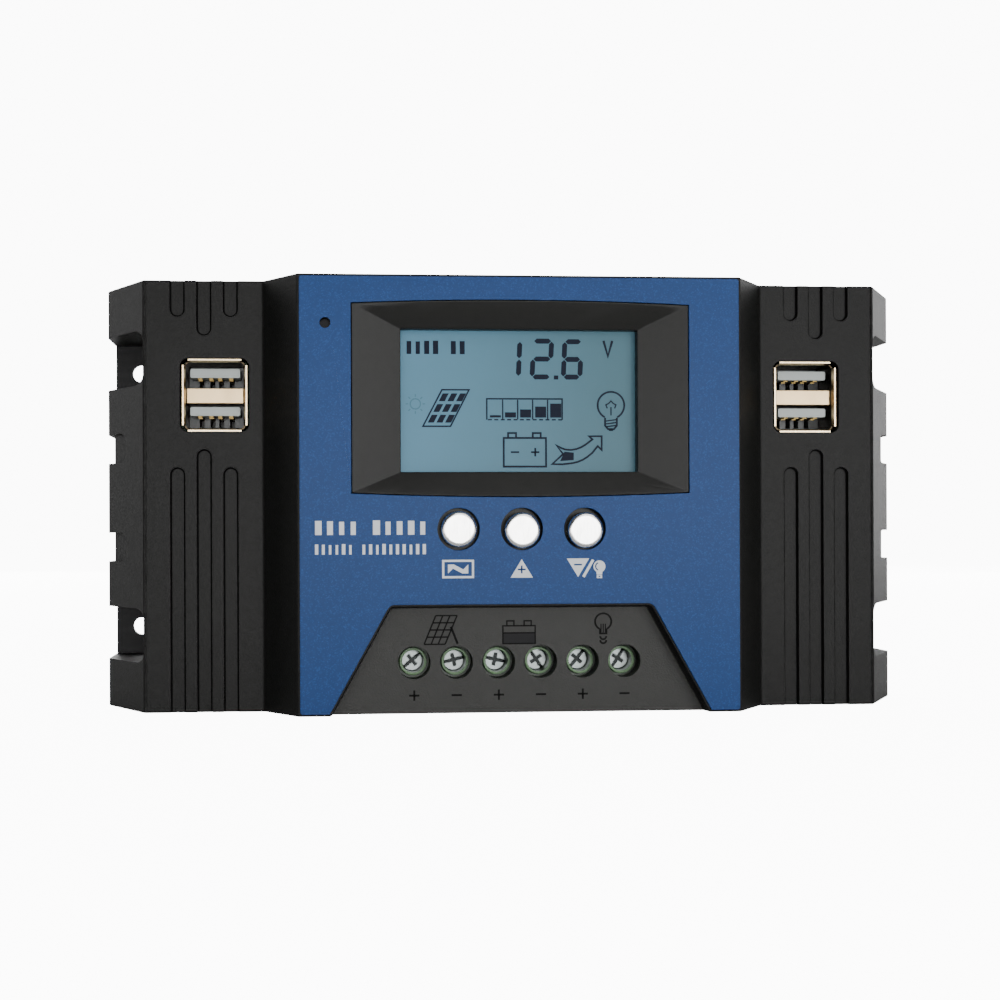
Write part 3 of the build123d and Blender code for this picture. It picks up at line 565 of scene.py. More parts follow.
def soften(name, piece_name, material, width):
    """A copy of a CAD node with its edges rounded, which stands for the node."""
    work = bmesh.new()
    work.from_mesh(NODES[name].data)
    bmesh.ops.remove_doubles(work, verts=work.verts, dist=WELD)
    bmesh.ops.dissolve_limit(work, angle_limit=FLAT, verts=work.verts, edges=work.edges)
    mesh = bpy.data.meshes.new(piece_name)
    work.to_mesh(mesh)
    work.free()
    draft = bpy.data.objects.new(piece_name + "_draft", mesh)
    bpy.context.scene.collection.objects.link(draft)
    mesh.shade_smooth()
    rounding = draft.modifiers.new("rounding", "BEVEL")
    rounding.width = width
    rounding.segments = BEVEL_STEPS
    rounding.limit_method = "ANGLE"
    rounding.angle_limit = BEVEL_FROM
    rounding.miter_outer = "MITER_ARC"
    rounding.use_clamp_overlap = True
    weigh = draft.modifiers.new("weigh", "WEIGHTED_NORMAL")
    weigh.keep_sharp = False
    bpy.context.view_layer.update()
    graph = bpy.context.evaluated_depsgraph_get()
    done = bpy.data.meshes.new_from_object(draft.evaluated_get(graph), depsgraph=graph)
    bpy.data.objects.remove(draft)
    done.name = piece_name
    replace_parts(keep(piece_name, done, material, NODES[name]["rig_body"]), name)


def arc(x, z, radius, start=0.0, stop=360.0, steps=24):
    """Points along an arc in degrees, counted anticlockwise from the right."""
    turn = [math.radians(start + (stop - start) * index / steps) for index in range(steps + 1)]
    return [(x + radius * math.cos(a), z + radius * math.sin(a)) for a in turn]


def mitred(points, half, closed):
    """The two sides of a line of even width."""
    count = len(points)
    left, right = [], []
    for index, point in enumerate(points):
        here = Vector(point)
        before = Vector(points[index - 1]) if closed or index else None
        after = Vector(points[(index + 1) % count]) if closed or index < count - 1 else None
        runs = [(b - a).normalized() for a, b in ((before, here), (here, after)) if a and b]
        sides = [Vector((-run.y, run.x)) for run in runs]
        middle = sum(sides, Vector((0, 0))).normalized()
        reach = half / max(MITRE_LEAST, middle.dot(sides[0]))
        left.append(here + middle * reach)
        right.append(here - middle * reach)
    return left, right


class Marks:
    """Gathers thin raised marks on one flat face into one mesh; only widths are in metres."""

    def __init__(self, depth, raised):
        self.shape = bmesh.new()
        self.low = depth - SUNK
        self.high = depth + raised / MM

    def _row(self, points, depth):
        """New points of the mesh, all at one depth."""
        return [self.shape.verts.new(spot(x, z, depth)) for x, z in points]

    def patch(self, outline):
        """A filled shape."""
        front, back = self._row(outline, self.high), self._row(outline, self.low)
        self.shape.faces.new(front)
        self.shape.faces.new(back[::-1])
        for index in range(len(front)):
            self.shape.faces.new((front[index - 1], back[index - 1], back[index], front[index]))

    def stroke(self, points, width, closed=False):
        """A line of even width."""
        if closed and Vector(points[0]) == Vector(points[-1]):
            points = points[:-1]
        left, right = mitred(points, width / MM / 2, closed)
        rows = [self._row(side, depth) for side, depth in (
            (left, self.high), (right, self.high), (right, self.low), (left, self.low))]
        count = len(points)
        for index in range(count if closed else count - 1):
            after = (index + 1) % count
            for row in range(4):
                one, two = rows[row], rows[(row + 1) % 4]
                self.shape.faces.new((one[index], one[after], two[after], two[index]))
        if not closed:
            for end in (0, -1):
                self.shape.faces.new([row[end] for row in rows])

    def ring(self, x, z, radius, width):
        """A circular line."""
        self.stroke(arc(x, z, radius)[:-1], width, closed=True)

    def box(self, x, z):
        """A filled rectangle between two limits each way."""
        self.patch([(x[0], z[0]), (x[1], z[0]), (x[1], z[1]), (x[0], z[1])])

    def lattice(self, corners, columns, rows, width):
        """A slanted grid; corners are top left, top right, bottom right and bottom left."""
        a, b, c, d = (Vector(corner) for corner in corners)
        for index in range(columns + 1):
            share = index / columns
            self.stroke([a.lerp(b, share), d.lerp(c, share)], width)
        for index in range(rows + 1):
            share = index / rows
            self.stroke([a.lerp(d, share), b.lerp(c, share)], width)

    def done(self, name, material, slot=None):
        """Ends the gathering with one finished piece."""
        bmesh.ops.recalc_face_normals(self.shape, faces=self.shape.faces)
        mesh = bpy.data.meshes.new(name)
        self.shape.to_mesh(mesh)
        self.shape.free()
        return keep(name, mesh, material)


def bar(start, stop, half):
    """A display segment: a bar with pointed ends."""
    a, b = Vector(start), Vector(stop)
    run = (b - a).normalized()
    side = Vector((-run.y, run.x)) * half
    first, last = a + run * half, b - run * half
    return [a, first + side, last + side, b, last - side, first - side]


def digit(marks, figure, x, z, stroke):
    """A seven-bar figure between the given limits."""
    half = stroke / 2
    left, right = x[0] + half, x[1] - half
    low, high = z[0] + half, z[1] - half
    middle = (low + high) / 2
    ends = {
        "a": ((left, high), (right, high)), "b": ((right, middle), (right, high)),
        "c": ((right, low), (right, middle)), "d": ((left, low), (right, low)),
        "e": ((left, low), (left, middle)), "f": ((left, middle), (left, high)),
        "g": ((left, middle), (right, middle)),
    }
    for name in LIT[figure]:
        start, stop = (Vector(end) for end in ends[name])
        run = (stop - start).normalized() * DIGIT_GAP
        outline = bar(start + run, stop - run, half)
        marks.patch([(px + DIGIT_SLANT * (pz - z[0]), pz) for px, pz in outline])


# ---- geometry node trees -------------------------------------------------------------------------
def tree_start(name, inputs):
    """A node tree with these inputs and a finish; its inputs and its output socket."""
    wanted = [(label, "NodeSocket" + kind, default) for label, kind, default in inputs]
    wanted.append(("Finish", "NodeSocketMaterial", None))
    return group_tree(name, "GeometryNodeTree", wanted, [("Geometry", "NodeSocketGeometry")])


def tree_end(tree, entry, leave, geometry):
    """Makes the instances real and gives them the finish."""
    real = put(tree, "GeometryNodeRealizeInstances", {0: geometry}).outputs[0]
    ended = put(tree, "GeometryNodeSetMaterial", {"Geometry": real, "Material": entry["Finish"]})
    tree.links.new(ended.outputs[0], leave[0])
    return tree


def combined(tree, x=0.0, y=0.0, z=0.0):
    """A vector from three values."""
    return put(tree, "ShaderNodeCombineXYZ", {0: x, 1: y, 2: z}).outputs[0]


def unit_block(tree):
    """A block one unit each way, to be scaled."""
    return put(tree, "GeometryNodeMeshCube", {"Size": (1.0, 1.0, 1.0)}).outputs[0]


def caption_tree():
    """A row of plain upright bars of changing width, with a gap after one of them."""
    tree, entry, leave = tree_start("caption_row", [
        ("Count", "Int", 9), ("Break after", "Int", 4), ("Cell", "Float", 0.002),
        ("Tall", "Float", 0.003), ("Thick", "Float", 0.0001), ("Share", "Float", 0.5),
        ("Seed", "Int", 0)])
    line = put(tree, "GeometryNodeMeshLine", {
        "Count": entry["Count"], "Offset": combined(tree, entry["Cell"])}).outputs[0]
    index = put(tree, "GeometryNodeInputIndex").outputs[0]
    gap_from = math_node(tree, "SUBTRACT", entry["Break after"], 0.5)
    past = math_node(tree, "GREATER_THAN", index, gap_from)
    share = put(tree, "FunctionNodeRandomValue", {2: 0.8, 3: 1.2, "Seed": entry["Seed"]}).outputs[1]
    share = math_node(tree, "MULTIPLY", share, entry["Share"])
    tall = put(tree, "FunctionNodeRandomValue", {2: 0.9, 3: 1.0, "Seed": entry["Seed"]}).outputs[1]
    tall = math_node(tree, "MULTIPLY", tall, entry["Tall"])
    shift = combined(tree, math_node(tree, "MULTIPLY", past, entry["Cell"]), 0.0,
                     math_node(tree, "MULTIPLY", tall, 0.5))
    line = put(tree, "GeometryNodeSetPosition", {"Geometry": line, "Offset": shift}).outputs[0]
    size = combined(tree, math_node(tree, "MULTIPLY", share, entry["Cell"]), entry["Thick"], tall)
    rows = put(tree, "GeometryNodeInstanceOnPoints", {
        "Points": line, "Instance": unit_block(tree), "Scale": size}).outputs[0]
    return tree_end(tree, entry, leave, rows)


def cell_tree():
    """A slanted grid of separate cells."""
    tree, entry, leave = tree_start("cell_grid", [
        ("Columns", "Int", 3), ("Rows", "Int", 3), ("Wide", "Float", 0.006), ("Tall", "Float", 0.008),
        ("Cell wide", "Float", 0.0015), ("Cell tall", "Float", 0.002), ("Thick", "Float", 0.0001),
        ("Slant", "Float", 0.4)])
    grid = put(tree, "GeometryNodeMeshGrid", {
        "Size X": entry["Wide"], "Size Y": entry["Tall"],
        "Vertices X": entry["Columns"], "Vertices Y": entry["Rows"]}).outputs[0]
    flat = put(tree, "ShaderNodeSeparateXYZ", {0: put(tree, "GeometryNodeInputPosition").outputs[0]})
    upright = combined(tree, flat.outputs[0], 0.0, flat.outputs[1])
    grid = put(tree, "GeometryNodeSetPosition", {"Geometry": grid, "Position": upright}).outputs[0]
    size = combined(tree, entry["Cell wide"], entry["Thick"], entry["Cell tall"])
    cells = put(tree, "GeometryNodeInstanceOnPoints", {
        "Points": grid, "Instance": unit_block(tree), "Scale": size}).outputs[0]
    cells = put(tree, "GeometryNodeRealizeInstances", {0: cells}).outputs[0]
    high = put(tree, "ShaderNodeSeparateXYZ", {0: put(tree, "GeometryNodeInputPosition").outputs[0]})
    lean = combined(tree, math_node(tree, "MULTIPLY", high.outputs[2], entry["Slant"]))
    cells = put(tree, "GeometryNodeSetPosition", {"Geometry": cells, "Offset": lean}).outputs[0]
    return tree_end(tree, entry, leave, cells)


def level_tree():
    """Upright bars, each taller than the last."""
    tree, entry, leave = tree_start("level_bars", [
        ("Count", "Int", 5), ("Pitch", "Float", 0.0034), ("Wide", "Float", 0.0026),
        ("First", "Float", 0.0005), ("Rise", "Float", 0.0006), ("Thick", "Float", 0.0001)])
    line = put(tree, "GeometryNodeMeshLine", {
        "Count": entry["Count"], "Offset": combined(tree, entry["Pitch"])}).outputs[0]
    index = put(tree, "GeometryNodeInputIndex").outputs[0]
    tall = math_node(tree, "ADD", math_node(tree, "MULTIPLY", index, entry["Rise"]), entry["First"])
    shift = combined(tree, 0.0, 0.0, math_node(tree, "MULTIPLY", tall, 0.5))
    line = put(tree, "GeometryNodeSetPosition", {"Geometry": line, "Offset": shift}).outputs[0]
    bars = put(tree, "GeometryNodeInstanceOnPoints", {
        "Points": line, "Instance": unit_block(tree),
        "Scale": combined(tree, entry["Wide"], entry["Thick"], tall)}).outputs[0]
    return tree_end(tree, entry, leave, bars)


def polarity_tree():
    """Plus and minus marks by turns along a row."""
    tree, entry, leave = tree_start("polarity_row", [
        ("Count", "Int", 6), ("Pitch", "Float", 0.0095), ("Size", "Float", 0.0024),
        ("Stroke", "Float", 0.0004), ("Thick", "Float", 0.0001)])
    line = put(tree, "GeometryNodeMeshLine", {
        "Count": entry["Count"], "Offset": combined(tree, entry["Pitch"])}).outputs[0]
    index = put(tree, "GeometryNodeInputIndex").outputs[0]
    even = math_node(tree, "LESS_THAN", math_node(tree, "MODULO", index, 2.0), 0.5)
    block = unit_block(tree)
    level = combined(tree, entry["Size"], entry["Thick"], entry["Stroke"])
    upright = combined(tree, entry["Stroke"], entry["Thick"], entry["Size"])
    all_marks = put(tree, "GeometryNodeInstanceOnPoints", {
        "Points": line, "Instance": block, "Scale": level}).outputs[0]
    plus_only = put(tree, "GeometryNodeInstanceOnPoints", {
        "Points": line, "Instance": block, "Scale": upright, "Selection": even}).outputs[0]
    joined = tree.nodes.new("GeometryNodeJoinGeometry")
    tree.links.new(all_marks, joined.inputs[0])
    tree.links.new(plus_only, joined.inputs[0])
    return tree_end(tree, entry, leave, joined.outputs[0])


TREE_MAKERS = {
    "caption": caption_tree, "cells": cell_tree, "level": level_tree, "polarity": polarity_tree,
}
TREES = {}


def grown(name, kind, values, at, material):
    """Runs a node tree with the given sizes, and keeps the result as a plain mesh placed at a spot."""
    if kind not in TREES:
        TREES[kind] = TREE_MAKERS[kind]()
    tree = TREES[kind]
    draft = bpy.data.objects.new(name + "_draft", bpy.data.meshes.new(name + "_draft"))
    bpy.context.scene.collection.objects.link(draft)
    build = draft.modifiers.new("build", "NODES")
    build.node_group = tree
    for item in tree.interface.items_tree:
        if item.item_type == "SOCKET" and item.in_out == "INPUT":
            given = material if item.name == "Finish" else values.get(item.name)
            if given is not None:
                build[item.identifier] = given
    bpy.context.view_layer.update()
    graph = bpy.context.evaluated_depsgraph_get()
    mesh = bpy.data.meshes.new_from_object(draft.evaluated_get(graph), depsgraph=graph)
    draft.modifiers.remove(build)
    bpy.data.objects.remove(draft)
    mesh.name = name
    mesh.transform(Matrix.Translation(spot(*at)))
    return keep(name, mesh, material)


# ---- stage ---------------------------------------------------------------------------------------
def make_floor(radius, glow):
    """A pale matt floor that the camera sees as bright as the surroundings."""
    shape = bmesh.new()
    bmesh.ops.create_circle(shape, cap_ends=True, radius=radius, segments=96)
    mesh = bpy.data.meshes.new("floor")
    shape.to_mesh(mesh)
    shape.free()
    mesh.transform(Matrix.Translation((0, 0, CAD_BOX[0].z)))
    floor = bpy.data.objects.new("floor", mesh)
    bpy.context.scene.collection.objects.link(floor)
    pale = bpy.data.materials.new("pale_floor")
    pale.use_nodes = True
    tree = pale.node_tree
    tree.nodes.clear()
    seen = put(tree, "ShaderNodeLightPath").outputs["Is Camera Ray"]
    matt = put(tree, "ShaderNodeBsdfDiffuse", {"Color": (0.82, 0.82, 0.81, 1)}).outputs[0]
    shine = put(tree, "ShaderNodeEmission", {"Strength": glow}).outputs[0]
    lit = put(tree, "ShaderNodeAddShader", {0: matt, 1: shine}).outputs[0]
    mixed = put(tree, "ShaderNodeMixShader", {0: seen, 1: matt, 2: lit}).outputs[0]
    put(tree, "ShaderNodeOutputMaterial", {"Surface": mixed})
    mesh.materials.append(pale)


def make_surroundings(ambient, glow):
    """Plain white to the camera, and a weak even light to everything else."""
    world = bpy.data.worlds.new("surroundings")
    bpy.context.scene.world = world
    world.use_nodes = True
    tree = world.node_tree
    tree.nodes.clear()
    seen = put(tree, "ShaderNodeLightPath").outputs["Is Camera Ray"]
    dim = put(tree, "ShaderNodeBackground", {"Color": (0.95, 0.97, 1, 1), "Strength": ambient})
    white = put(tree, "ShaderNodeBackground", {"Color": (1, 1, 1, 1), "Strength": glow})
    mixed = put(tree, "ShaderNodeMixShader", {0: seen, 1: dim.outputs[0], 2: white.outputs[0]})
    put(tree, "ShaderNodeOutputWorld", {"Surface": mixed.outputs[0]})


def soft_light(name, power, place, aim, size):
    """A rectangular light that the camera doesn't see."""
    light = bpy.data.lights.new(name, "AREA")
    light.shape = "RECTANGLE"
    light.size, light.size_y = size
    light.energy = power
    lamp = bpy.data.objects.new(name, light)
    lamp.location = place
    lamp.rotation_euler = (Vector(aim) - Vector(place)).to_track_quat("-Z", "Y").to_euler()
    lamp.visible_camera = False
    bpy.context.scene.collection.objects.link(lamp)


def make_camera(lens):
    """The camera, a little left of the middle and level with it."""
    camera = bpy.data.cameras.new("camera")
    camera.lens = lens
    camera.sensor_width = 36.0
    camera.shift_x, camera.shift_y = CAMERA_SHIFT
    camera.clip_start, camera.clip_end = 0.01, 50.0
    holder = bpy.data.objects.new("camera", camera)
    holder.location = CAMERA_PLACE
    holder.rotation_euler = [math.radians(turn) for turn in CAMERA_TURN]
    bpy.context.scene.collection.objects.link(holder)
    bpy.context.scene.camera = holder


# ---- operators -----------------------------------------------------------------------------------
class CONTROLLER_OT_stage(bpy.types.Operator):
    """Make the floor, the surroundings, the lights and the camera"""

    bl_idname = "controller.stage"
    bl_label = "Stage"

    def execute(self, context):
        stage = context.scene.controller_stage
        make_floor(stage.floor_radius, stage.white)
        make_surroundings(stage.ambient, stage.white)
        for name, power, place, aim, size in LIGHTS:
            soft_light(name, getattr(stage, power), place, aim, size)
        make_camera(stage.lens)
        return {"FINISHED"}


def groove_lines(material):
    """Dark lines painted as shadow along the sides and round ends of the grooves in the wings."""
    lines = Marks(GROOVE_FLOOR, 0.03 * MM)
    reach = GROOVE_HALF - GROOVE_LINE / 2
    for x, upper, lower in GROOVES:
        for side in (-1, 1):
            for tip, level in ((upper, 1), (lower, -1)):
                bend = arc(side * x, tip + level * GROOVE_HALF, reach, 0, -180 * level, 16)
                start, stop = ((side * x + shift, level * EDGE_Z) for shift in (reach, -reach))
                lines.stroke([start] + bend + [stop], GROOVE_LINE * MM)
    lines.done("groove_shadow_lines", material, "housing_black")


class CONTROLLER_OT_housing(bpy.types.Operator):
    """Finish the moulded housing, the light pipe and the back plate"""

    bl_idname = "controller.housing"
    bl_label = "Housing"

    def execute(self, context):
        looks = palette(context)
        paint("front_housing", looks["housing_black"])
        groove_lines(looks["groove_black"])
        paint("light_pipe", looks["light_pipe"])
        paint("status_led", looks["white_plastic"])
        paint("back_plate", looks["plate_aluminium"])
        paint("back_screws", looks["black_screw"])
        return {"FINISHED"}


class CONTROLLER_OT_overlay(bpy.types.Operator):
    """Make the printed front sheet, its symbols and its caption bars"""

    bl_idname = "controller.overlay"
    bl_label = "Front sheet"

    def execute(self, context):
        looks = palette(context)
        sizes = context.scene.controller_sizes
        soften("front_overlay", "front_sheet", looks["overlay_blue"], 0.1 * MM)
        for name, count, gap, cell, tall, share, x, z in (
            ("caption_bold", 9, 4, 2.55, 3.2, 0.52, -45.0, -8.8),
            ("caption_fine", 16, 6, 1.48, 2.3, 0.44, -45.4, -13.1),
        ):
            values = {"Count": count, "Break after": gap, "Cell": cell * MM, "Tall": tall * MM,
                      "Thick": 2 * sizes.raised, "Share": share, "Seed": sizes.caption_seed}
            grown(name, "caption", values, (x, z, FACE), looks["print_white"])

        line = sizes.icon_stroke
        white = Marks(FACE, sizes.raised)
        white.stroke([(-17.55, -14.6), (-10.95, -14.6), (-10.95, -18.2), (-17.55, -18.2)], line, True)
        white.patch([(-16.5, -15.4), (-15.2, -15.4), (-13.1, -16.5), (-12.0, -15.4), (-12.0, -17.4),
                      (-13.3, -17.4), (-15.4, -16.3), (-16.5, -17.4)])
        white.patch([(-0.1, -14.3), (2.4, -18.4), (-2.6, -18.4)])
        white.patch([(10.0, -14.2), (15.0, -14.2), (12.5, -18.3)])
        white.stroke([(13.7, -18.3), (15.9, -14.5)], line * 1.3)
        white.patch(arc(17.3, -16.0, 1.35, -60, 240, 20) + [(16.7, -17.8), (17.9, -17.8)])
        white.box((16.7, 17.9), (-18.6, -17.9))
        white.done("button_symbols", looks["print_white"])

        gaps = Marks(FACE, 1.5 * sizes.raised)
        gaps.box((-1.0, 0.8), (-16.75, -16.4))
        gaps.box((-0.28, 0.08), (-17.45, -15.7))
        gaps.box((11.6, 13.4), (-15.75, -15.4))
        gaps.stroke(arc(17.3, -16.0, 0.85, 110, 250, 10), line * 0.55)
        gaps.box((17.1, 17.5), (-18.35, -18.1))
        gaps.done("symbol_cutouts", looks["overlay_blue"], "overlay_blue")
        return {"FINISHED"}


class CONTROLLER_OT_bezel(bpy.types.Operator):
    """Make the frame around the display"""

    bl_idname = "controller.bezel"
    bl_label = "Display frame"

    def execute(self, context):
        looks = palette(context)
        width = context.scene.controller_sizes.edge_round
        soften("lcd_bezel", "display_frame", looks["bezel_black"], width)
        return {"FINISHED"}


def display_figures(marks, line, stroke):
    """The figures and the unit."""
    digit(marks, "1", (-4.5, 0.6), (26.2, 35.2), stroke)
    digit(marks, "2", (2.6, 7.8), (26.1, 35.3), stroke)
    marks.box((8.15, 9.15), (26.1, 27.0))
    digit(marks, "6", (9.7, 14.6), (26.1, 35.2), stroke)
    marks.stroke([(19.5, 34.9), (20.5, 31.4), (21.5, 34.9)], line * 1.3)


def display_lamp(marks, line):
    """A light bulb with its cap and wire."""
    marks.stroke(arc(21.15, 20.3, 3.05, -62, 242, 30), line)
    marks.stroke([(19.8, 17.5), (19.8, 15.7), (20.5, 14.9), (21.8, 14.9), (22.5, 15.7),
                  (22.5, 17.5)], line)
    for low in (16.9, 16.25, 15.6):
        marks.stroke([(20.0, low - 0.15), (22.3, low + 0.15)], line * 0.7)
    marks.box((20.7, 21.6), (14.5, 14.85))
    marks.stroke([(20.3, 19.6), (20.0, 20.4), (20.6, 20.7), (21.15, 21.3), (21.7, 20.7),
                  (22.3, 20.4), (22.0, 19.6)], line * 0.7)
    marks.stroke([(21.15, 19.9), (21.15, 18.0)], line * 0.7)


def display_battery(marks, line):
    """A battery with its two posts, a minus and a plus."""
    marks.stroke([(-3.3, 12.9), (6.3, 12.9), (6.3, 6.45), (-3.3, 6.45)], line, True)
    for x in (-2.3, 3.3):
        marks.stroke([(x, 13.1), (x, 14.0), (x + 1.8, 14.0), (x + 1.8, 13.1)], line)
    marks.box((-1.7, 0.2), (9.5, 9.9))
    marks.box((2.9, 4.8), (9.5, 9.9))
    marks.box((3.65, 4.05), (8.75, 10.65))


def display_arrow(marks, line):
    """A bent arrow from the battery towards the lamp, with a block in its tail."""
    marks.stroke([(7.7, 7.0), (10.2, 9.3), (8.6, 11.3), (9.6, 10.7), (10.7, 10.3), (12.0, 10.2),
                  (13.2, 10.4), (14.3, 10.8), (15.3, 11.4), (16.9, 12.6), (16.1, 13.3), (19.0, 13.3),
                  (19.0, 10.2), (18.1, 11.1), (16.9, 9.6), (15.8, 8.7), (14.7, 8.0), (13.5, 7.5),
                  (12.2, 7.2), (10.0, 6.95)], line, True)
    marks.patch([(10.5, 9.8), (12.6, 9.6), (12.6, 7.9), (9.5, 7.7)])


class CONTROLLER_OT_display(bpy.types.Operator):
    """Make the display's face, its digits and its symbols"""

    bl_idname = "controller.display"
    bl_label = "Display"

    def execute(self, context):
        looks = palette(context)
        sizes = context.scene.controller_sizes
        for node, look in (("lcd_polariser", "lcd_front"), ("lcd_glass", "lcd_glass"),
                           ("lcd_backlight", "white_plastic"), ("lcd_pins", "tin_copper")):
            paint(node, looks[look])
        dark = looks["segment_navy"]
        raised = sizes.raised * 0.7
        line = sizes.display_stroke

        figures = Marks(SCREEN, raised)
        display_figures(figures, line, sizes.digit_stroke / MM)
        figures.done("display_digits", dark)

        for name, kind, x, z, values in (
            ("display_caption", "caption", -24.6, 31.7, {
                "Count": 6, "Break after": 4, "Cell": 2.0 * MM, "Tall": 3.0 * MM, "Share": 0.5,
                "Seed": sizes.caption_seed + 4}),
            ("display_solar_cells", "cells", -16.1, 19.6, {
                "Columns": 3, "Rows": 3, "Wide": 3.9 * MM, "Tall": 4.8 * MM,
                "Cell wide": 1.35 * MM, "Cell tall": 1.75 * MM, "Slant": 0.52}),
            ("display_level_bars", "level", -5.15, 17.5, {
                "Count": 5, "Pitch": 3.42 * MM, "Wide": 2.5 * MM, "First": 0.5 * MM,
                "Rise": 0.66 * MM}),
            ("display_level_base", "level", -6.4, 16.85, {
                "Count": 12, "Pitch": 1.45 * MM, "Wide": 0.9 * MM, "First": 0.3 * MM, "Rise": 0.0}),
        ):
            grown(name, kind, {"Thick": 2 * raised, **values}, (x, z, SCREEN), dark)

        marks = Marks(SCREEN, raised)
        solar_frame = [(-17.2, 23.7), (-11.1, 23.7), (-15.3, 15.5), (-21.5, 15.5)]
        marks.stroke(solar_frame, line * 0.8, True)
        marks.stroke([(-7.1, 17.0), (-7.1, 21.7), (10.0, 21.7), (10.0, 17.0)], line * 0.8)
        for x in (-3.5, -0.1, 3.3, 6.7):
            marks.stroke([(x, 21.5), (x, 17.1)], line * 0.7)
        display_lamp(marks, line)
        display_battery(marks, line)
        display_arrow(marks, line)
        marks.done("display_symbols", dark)

        faint = Marks(SCREEN, raised * 0.5)
        sun = (-23.2, 20.5)
        faint.ring(*sun, 1.15, line * 0.7)
        for turn in range(0, 360, 45):
            ray = [arc(*sun, reach, turn, turn, 1)[0] for reach in (1.6, 2.2)]
            faint.stroke(ray, line * 0.6)
        faint.done("display_unlit_marks", looks["segment_faint"])
        return {"FINISHED"}


class CONTROLLER_OT_buttons(bpy.types.Operator):
    """Finish the buttons and their switches"""

    bl_idname = "controller.buttons"
    bl_label = "Buttons"

    def execute(self, context):
        looks = palette(context)
        for name in ("left", "centre", "right"):
            paint("button_" + name, looks["button_chrome"])
            paint("switch_plunger_" + name, looks["fuse_orange"])
        paint("switch_bodies", looks["chip_black"])
        return {"FINISHED"}


def terminal_solar(marks, line):
    """A solar panel on its stand."""
    marks.lattice([(-18.9, -26.9), (-14.1, -26.9), (-16.8, -33.3), (-21.5, -33.3)], 3, 4, line)
    marks.stroke([(-15.5, -29.4), (-14.0, -33.2)], line * 1.6)


def terminal_battery(marks, line):
    """A battery with two posts and a line at its level."""
    marks.stroke([(-3.8, -29.3), (3.5, -29.3), (3.5, -33.3), (-3.8, -33.3)], line, True)
    marks.stroke([(-3.8, -30.9), (3.5, -30.9)], line)
    for x in (-2.9, 1.0):
        marks.stroke([(x, -29.3), (x, -28.2), (x + 1.6, -28.2), (x + 1.6, -29.3)], line)


def terminal_lamp(marks, line):
    """A light bulb with its cap."""
    marks.stroke(arc(18.95, -28.5, 1.85, -62, 242, 24), line * 1.3)
    marks.stroke([(18.2, -30.1), (18.2, -31.2), (19.7, -31.2), (19.7, -30.1)], line * 1.2)
    for low in (-31.8, -32.7):
        marks.stroke(arc(18.95, low, 0.7, 0, -180, 10), line * 1.3)
    for x in (18.45, 18.95, 19.45):
        marks.stroke([(x, -29.0), (x, -31.0)], line * 0.8)


class CONTROLLER_OT_terminals(bpy.types.Operator):
    """Make the terminal block, its screws and clamps, and the marks above them"""

    bl_idname = "controller.terminals"
    bl_label = "Terminals"

    def execute(self, context):
        looks = palette(context)
        sizes = context.scene.controller_sizes
        soften("terminal_block", "terminal_body", looks["terminal_green"], 0.2 * MM)
        paint("terminal_bars", looks["tin_copper"])
        for index in range(1, WELLS + 1):
            soften(f"clamp_screw_{index}", f"terminal_screw_{index}", looks["screw_steel"],
                   0.14 * MM)
            paint(f"clamp_cage_{index}", looks["cage_steel"])

        values = {"Count": WELLS, "Pitch": WELL_PITCH * MM, "Size": 2.3 * MM, "Stroke": 0.42 * MM,
                  "Thick": 2 * sizes.raised}
        start = (WELL_FIRST, POLARITY_Z, PANEL)
        grown("polarity_marks", "polarity", values, start, looks["print_black"])
        marks = Marks(PANEL, sizes.raised)
        line = sizes.panel_stroke
        terminal_solar(marks, line)
        terminal_battery(marks, line)
        terminal_lamp(marks, line)
        marks.done("terminal_symbols", looks["print_black"])
        fill = Marks(PANEL, 0.5 * sizes.raised)
        fill.box((-3.7, 3.4), (-33.2, -31.0))
        fill.done("battery_symbol_fill", looks["print_grey"])
        return {"FINISHED"}


class CONTROLLER_OT_ports(bpy.types.Operator):
    """Finish the charging sockets"""

    bl_idname = "controller.ports"
    bl_label = "Charging sockets"

    def execute(self, context):
        looks = palette(context)
        for side in ("left", "right"):
            for node, look, name, width in (
                ("usb_shell_", "usb_shell", "socket_shell_", 0.08),
                ("usb_separator_", "usb_bridge", "socket_bridge_", 0.09),
                ("usb_insulator_", "usb_plastic", "socket_tongues_", 0.12),
            ):
                soften(node + side, name + side, looks[look], width * MM)
            paint("usb_contacts_" + side, looks["gold"])
        return {"FINISHED"}


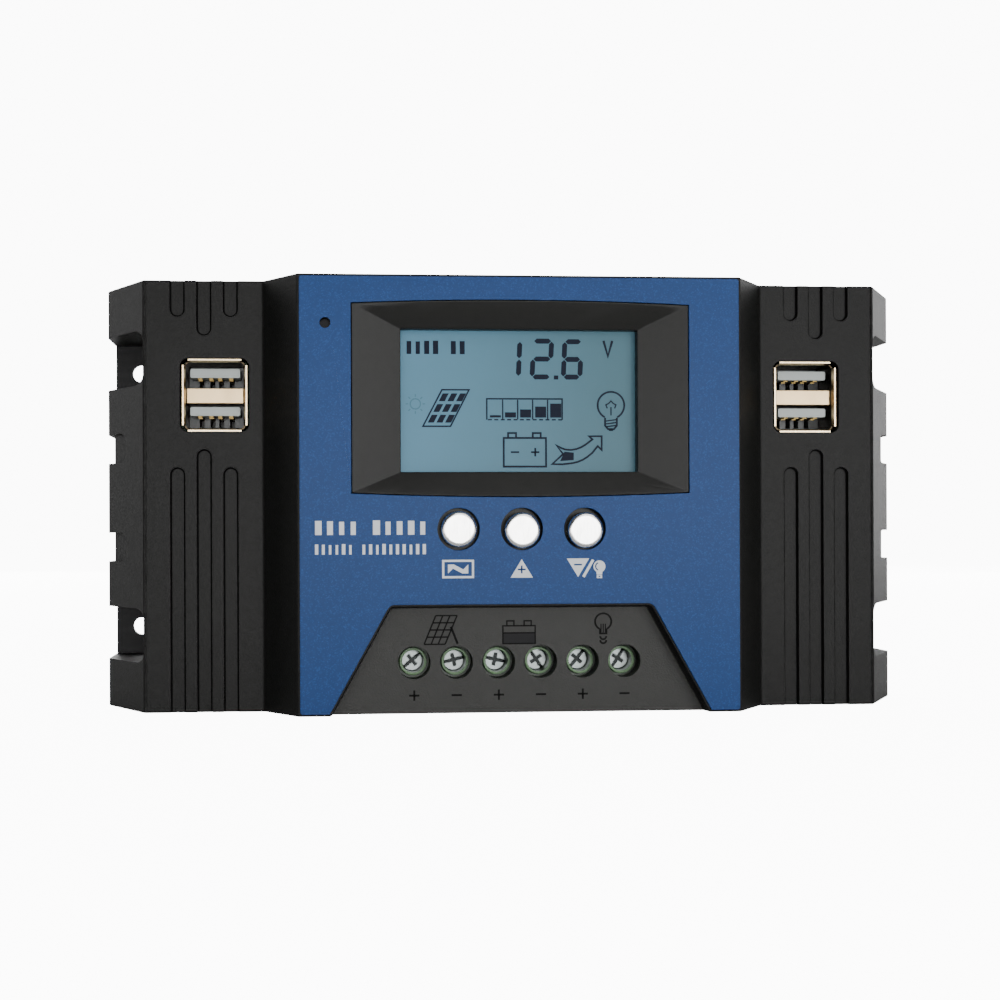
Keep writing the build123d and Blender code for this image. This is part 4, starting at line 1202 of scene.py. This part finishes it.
INSIDE = {
    "main_board": "board_green", "display_board": "board_green", "board_link": "chip_black",
    "capacitors": "can_dark", "inductor_core": "ferrite", "inductor_winding": "copper_wire",
    "controller_chip": "chip_black", "small_chips": "chip_black", "fuses": "fuse_orange",
    "mosfet_bodies": "chip_black", "mosfet_legs": "tin_copper", "thermal_pad": "pad_grey",
    "board_posts": "cage_steel", "board_screws": "fastener_steel", "display_screws": "fastener_steel",
}


class CONTROLLER_OT_inside(bpy.types.Operator):
    """Finish the boards and what stands on them"""

    bl_idname = "controller.inside"
    bl_label = "Inside"

    def execute(self, context):
        looks = palette(context)
        for node, look in INSIDE.items():
            paint(node, looks[look])
        return {"FINISHED"}


STEPS = (
    CONTROLLER_OT_stage, CONTROLLER_OT_housing, CONTROLLER_OT_overlay, CONTROLLER_OT_bezel,
    CONTROLLER_OT_display, CONTROLLER_OT_buttons, CONTROLLER_OT_terminals, CONTROLLER_OT_ports,
    CONTROLLER_OT_inside,
)


class CONTROLLER_PT_panel(bpy.types.Panel):
    """Lists the steps that dress the controller"""

    bl_label = "Charge controller"
    bl_space_type = "VIEW_3D"
    bl_region_type = "UI"
    bl_category = "Controller"

    def draw(self, context):
        scene = context.scene
        for group in (scene.controller_sizes, scene.controller_colours, scene.controller_stage):
            column = self.layout.column(align=True)
            for name in group.__annotations__:
                column.prop(group, name)
        for step in STEPS:
            self.layout.operator(step.bl_idname)


SETTINGS = {
    "controller_sizes": ControllerSizes,
    "controller_colours": ControllerColours,
    "controller_stage": ControllerStage,
}


def register():
    for group in SETTINGS.values():
        bpy.utils.register_class(group)
    for name, group in SETTINGS.items():
        setattr(bpy.types.Scene, name, PointerProperty(type=group))
    for item in (*STEPS, CONTROLLER_PT_panel):
        bpy.utils.register_class(item)


def unregister():
    for item in (CONTROLLER_PT_panel, *reversed(STEPS)):
        bpy.utils.unregister_class(item)
    for name, group in SETTINGS.items():
        delattr(bpy.types.Scene, name)
        bpy.utils.unregister_class(group)


def main():
    """Runs every step in order."""
    register()
    for step in STEPS:
        area, name = step.bl_idname.split(".")
        getattr(getattr(bpy.ops, area), name)()


if __name__ == "__main__":
    main()
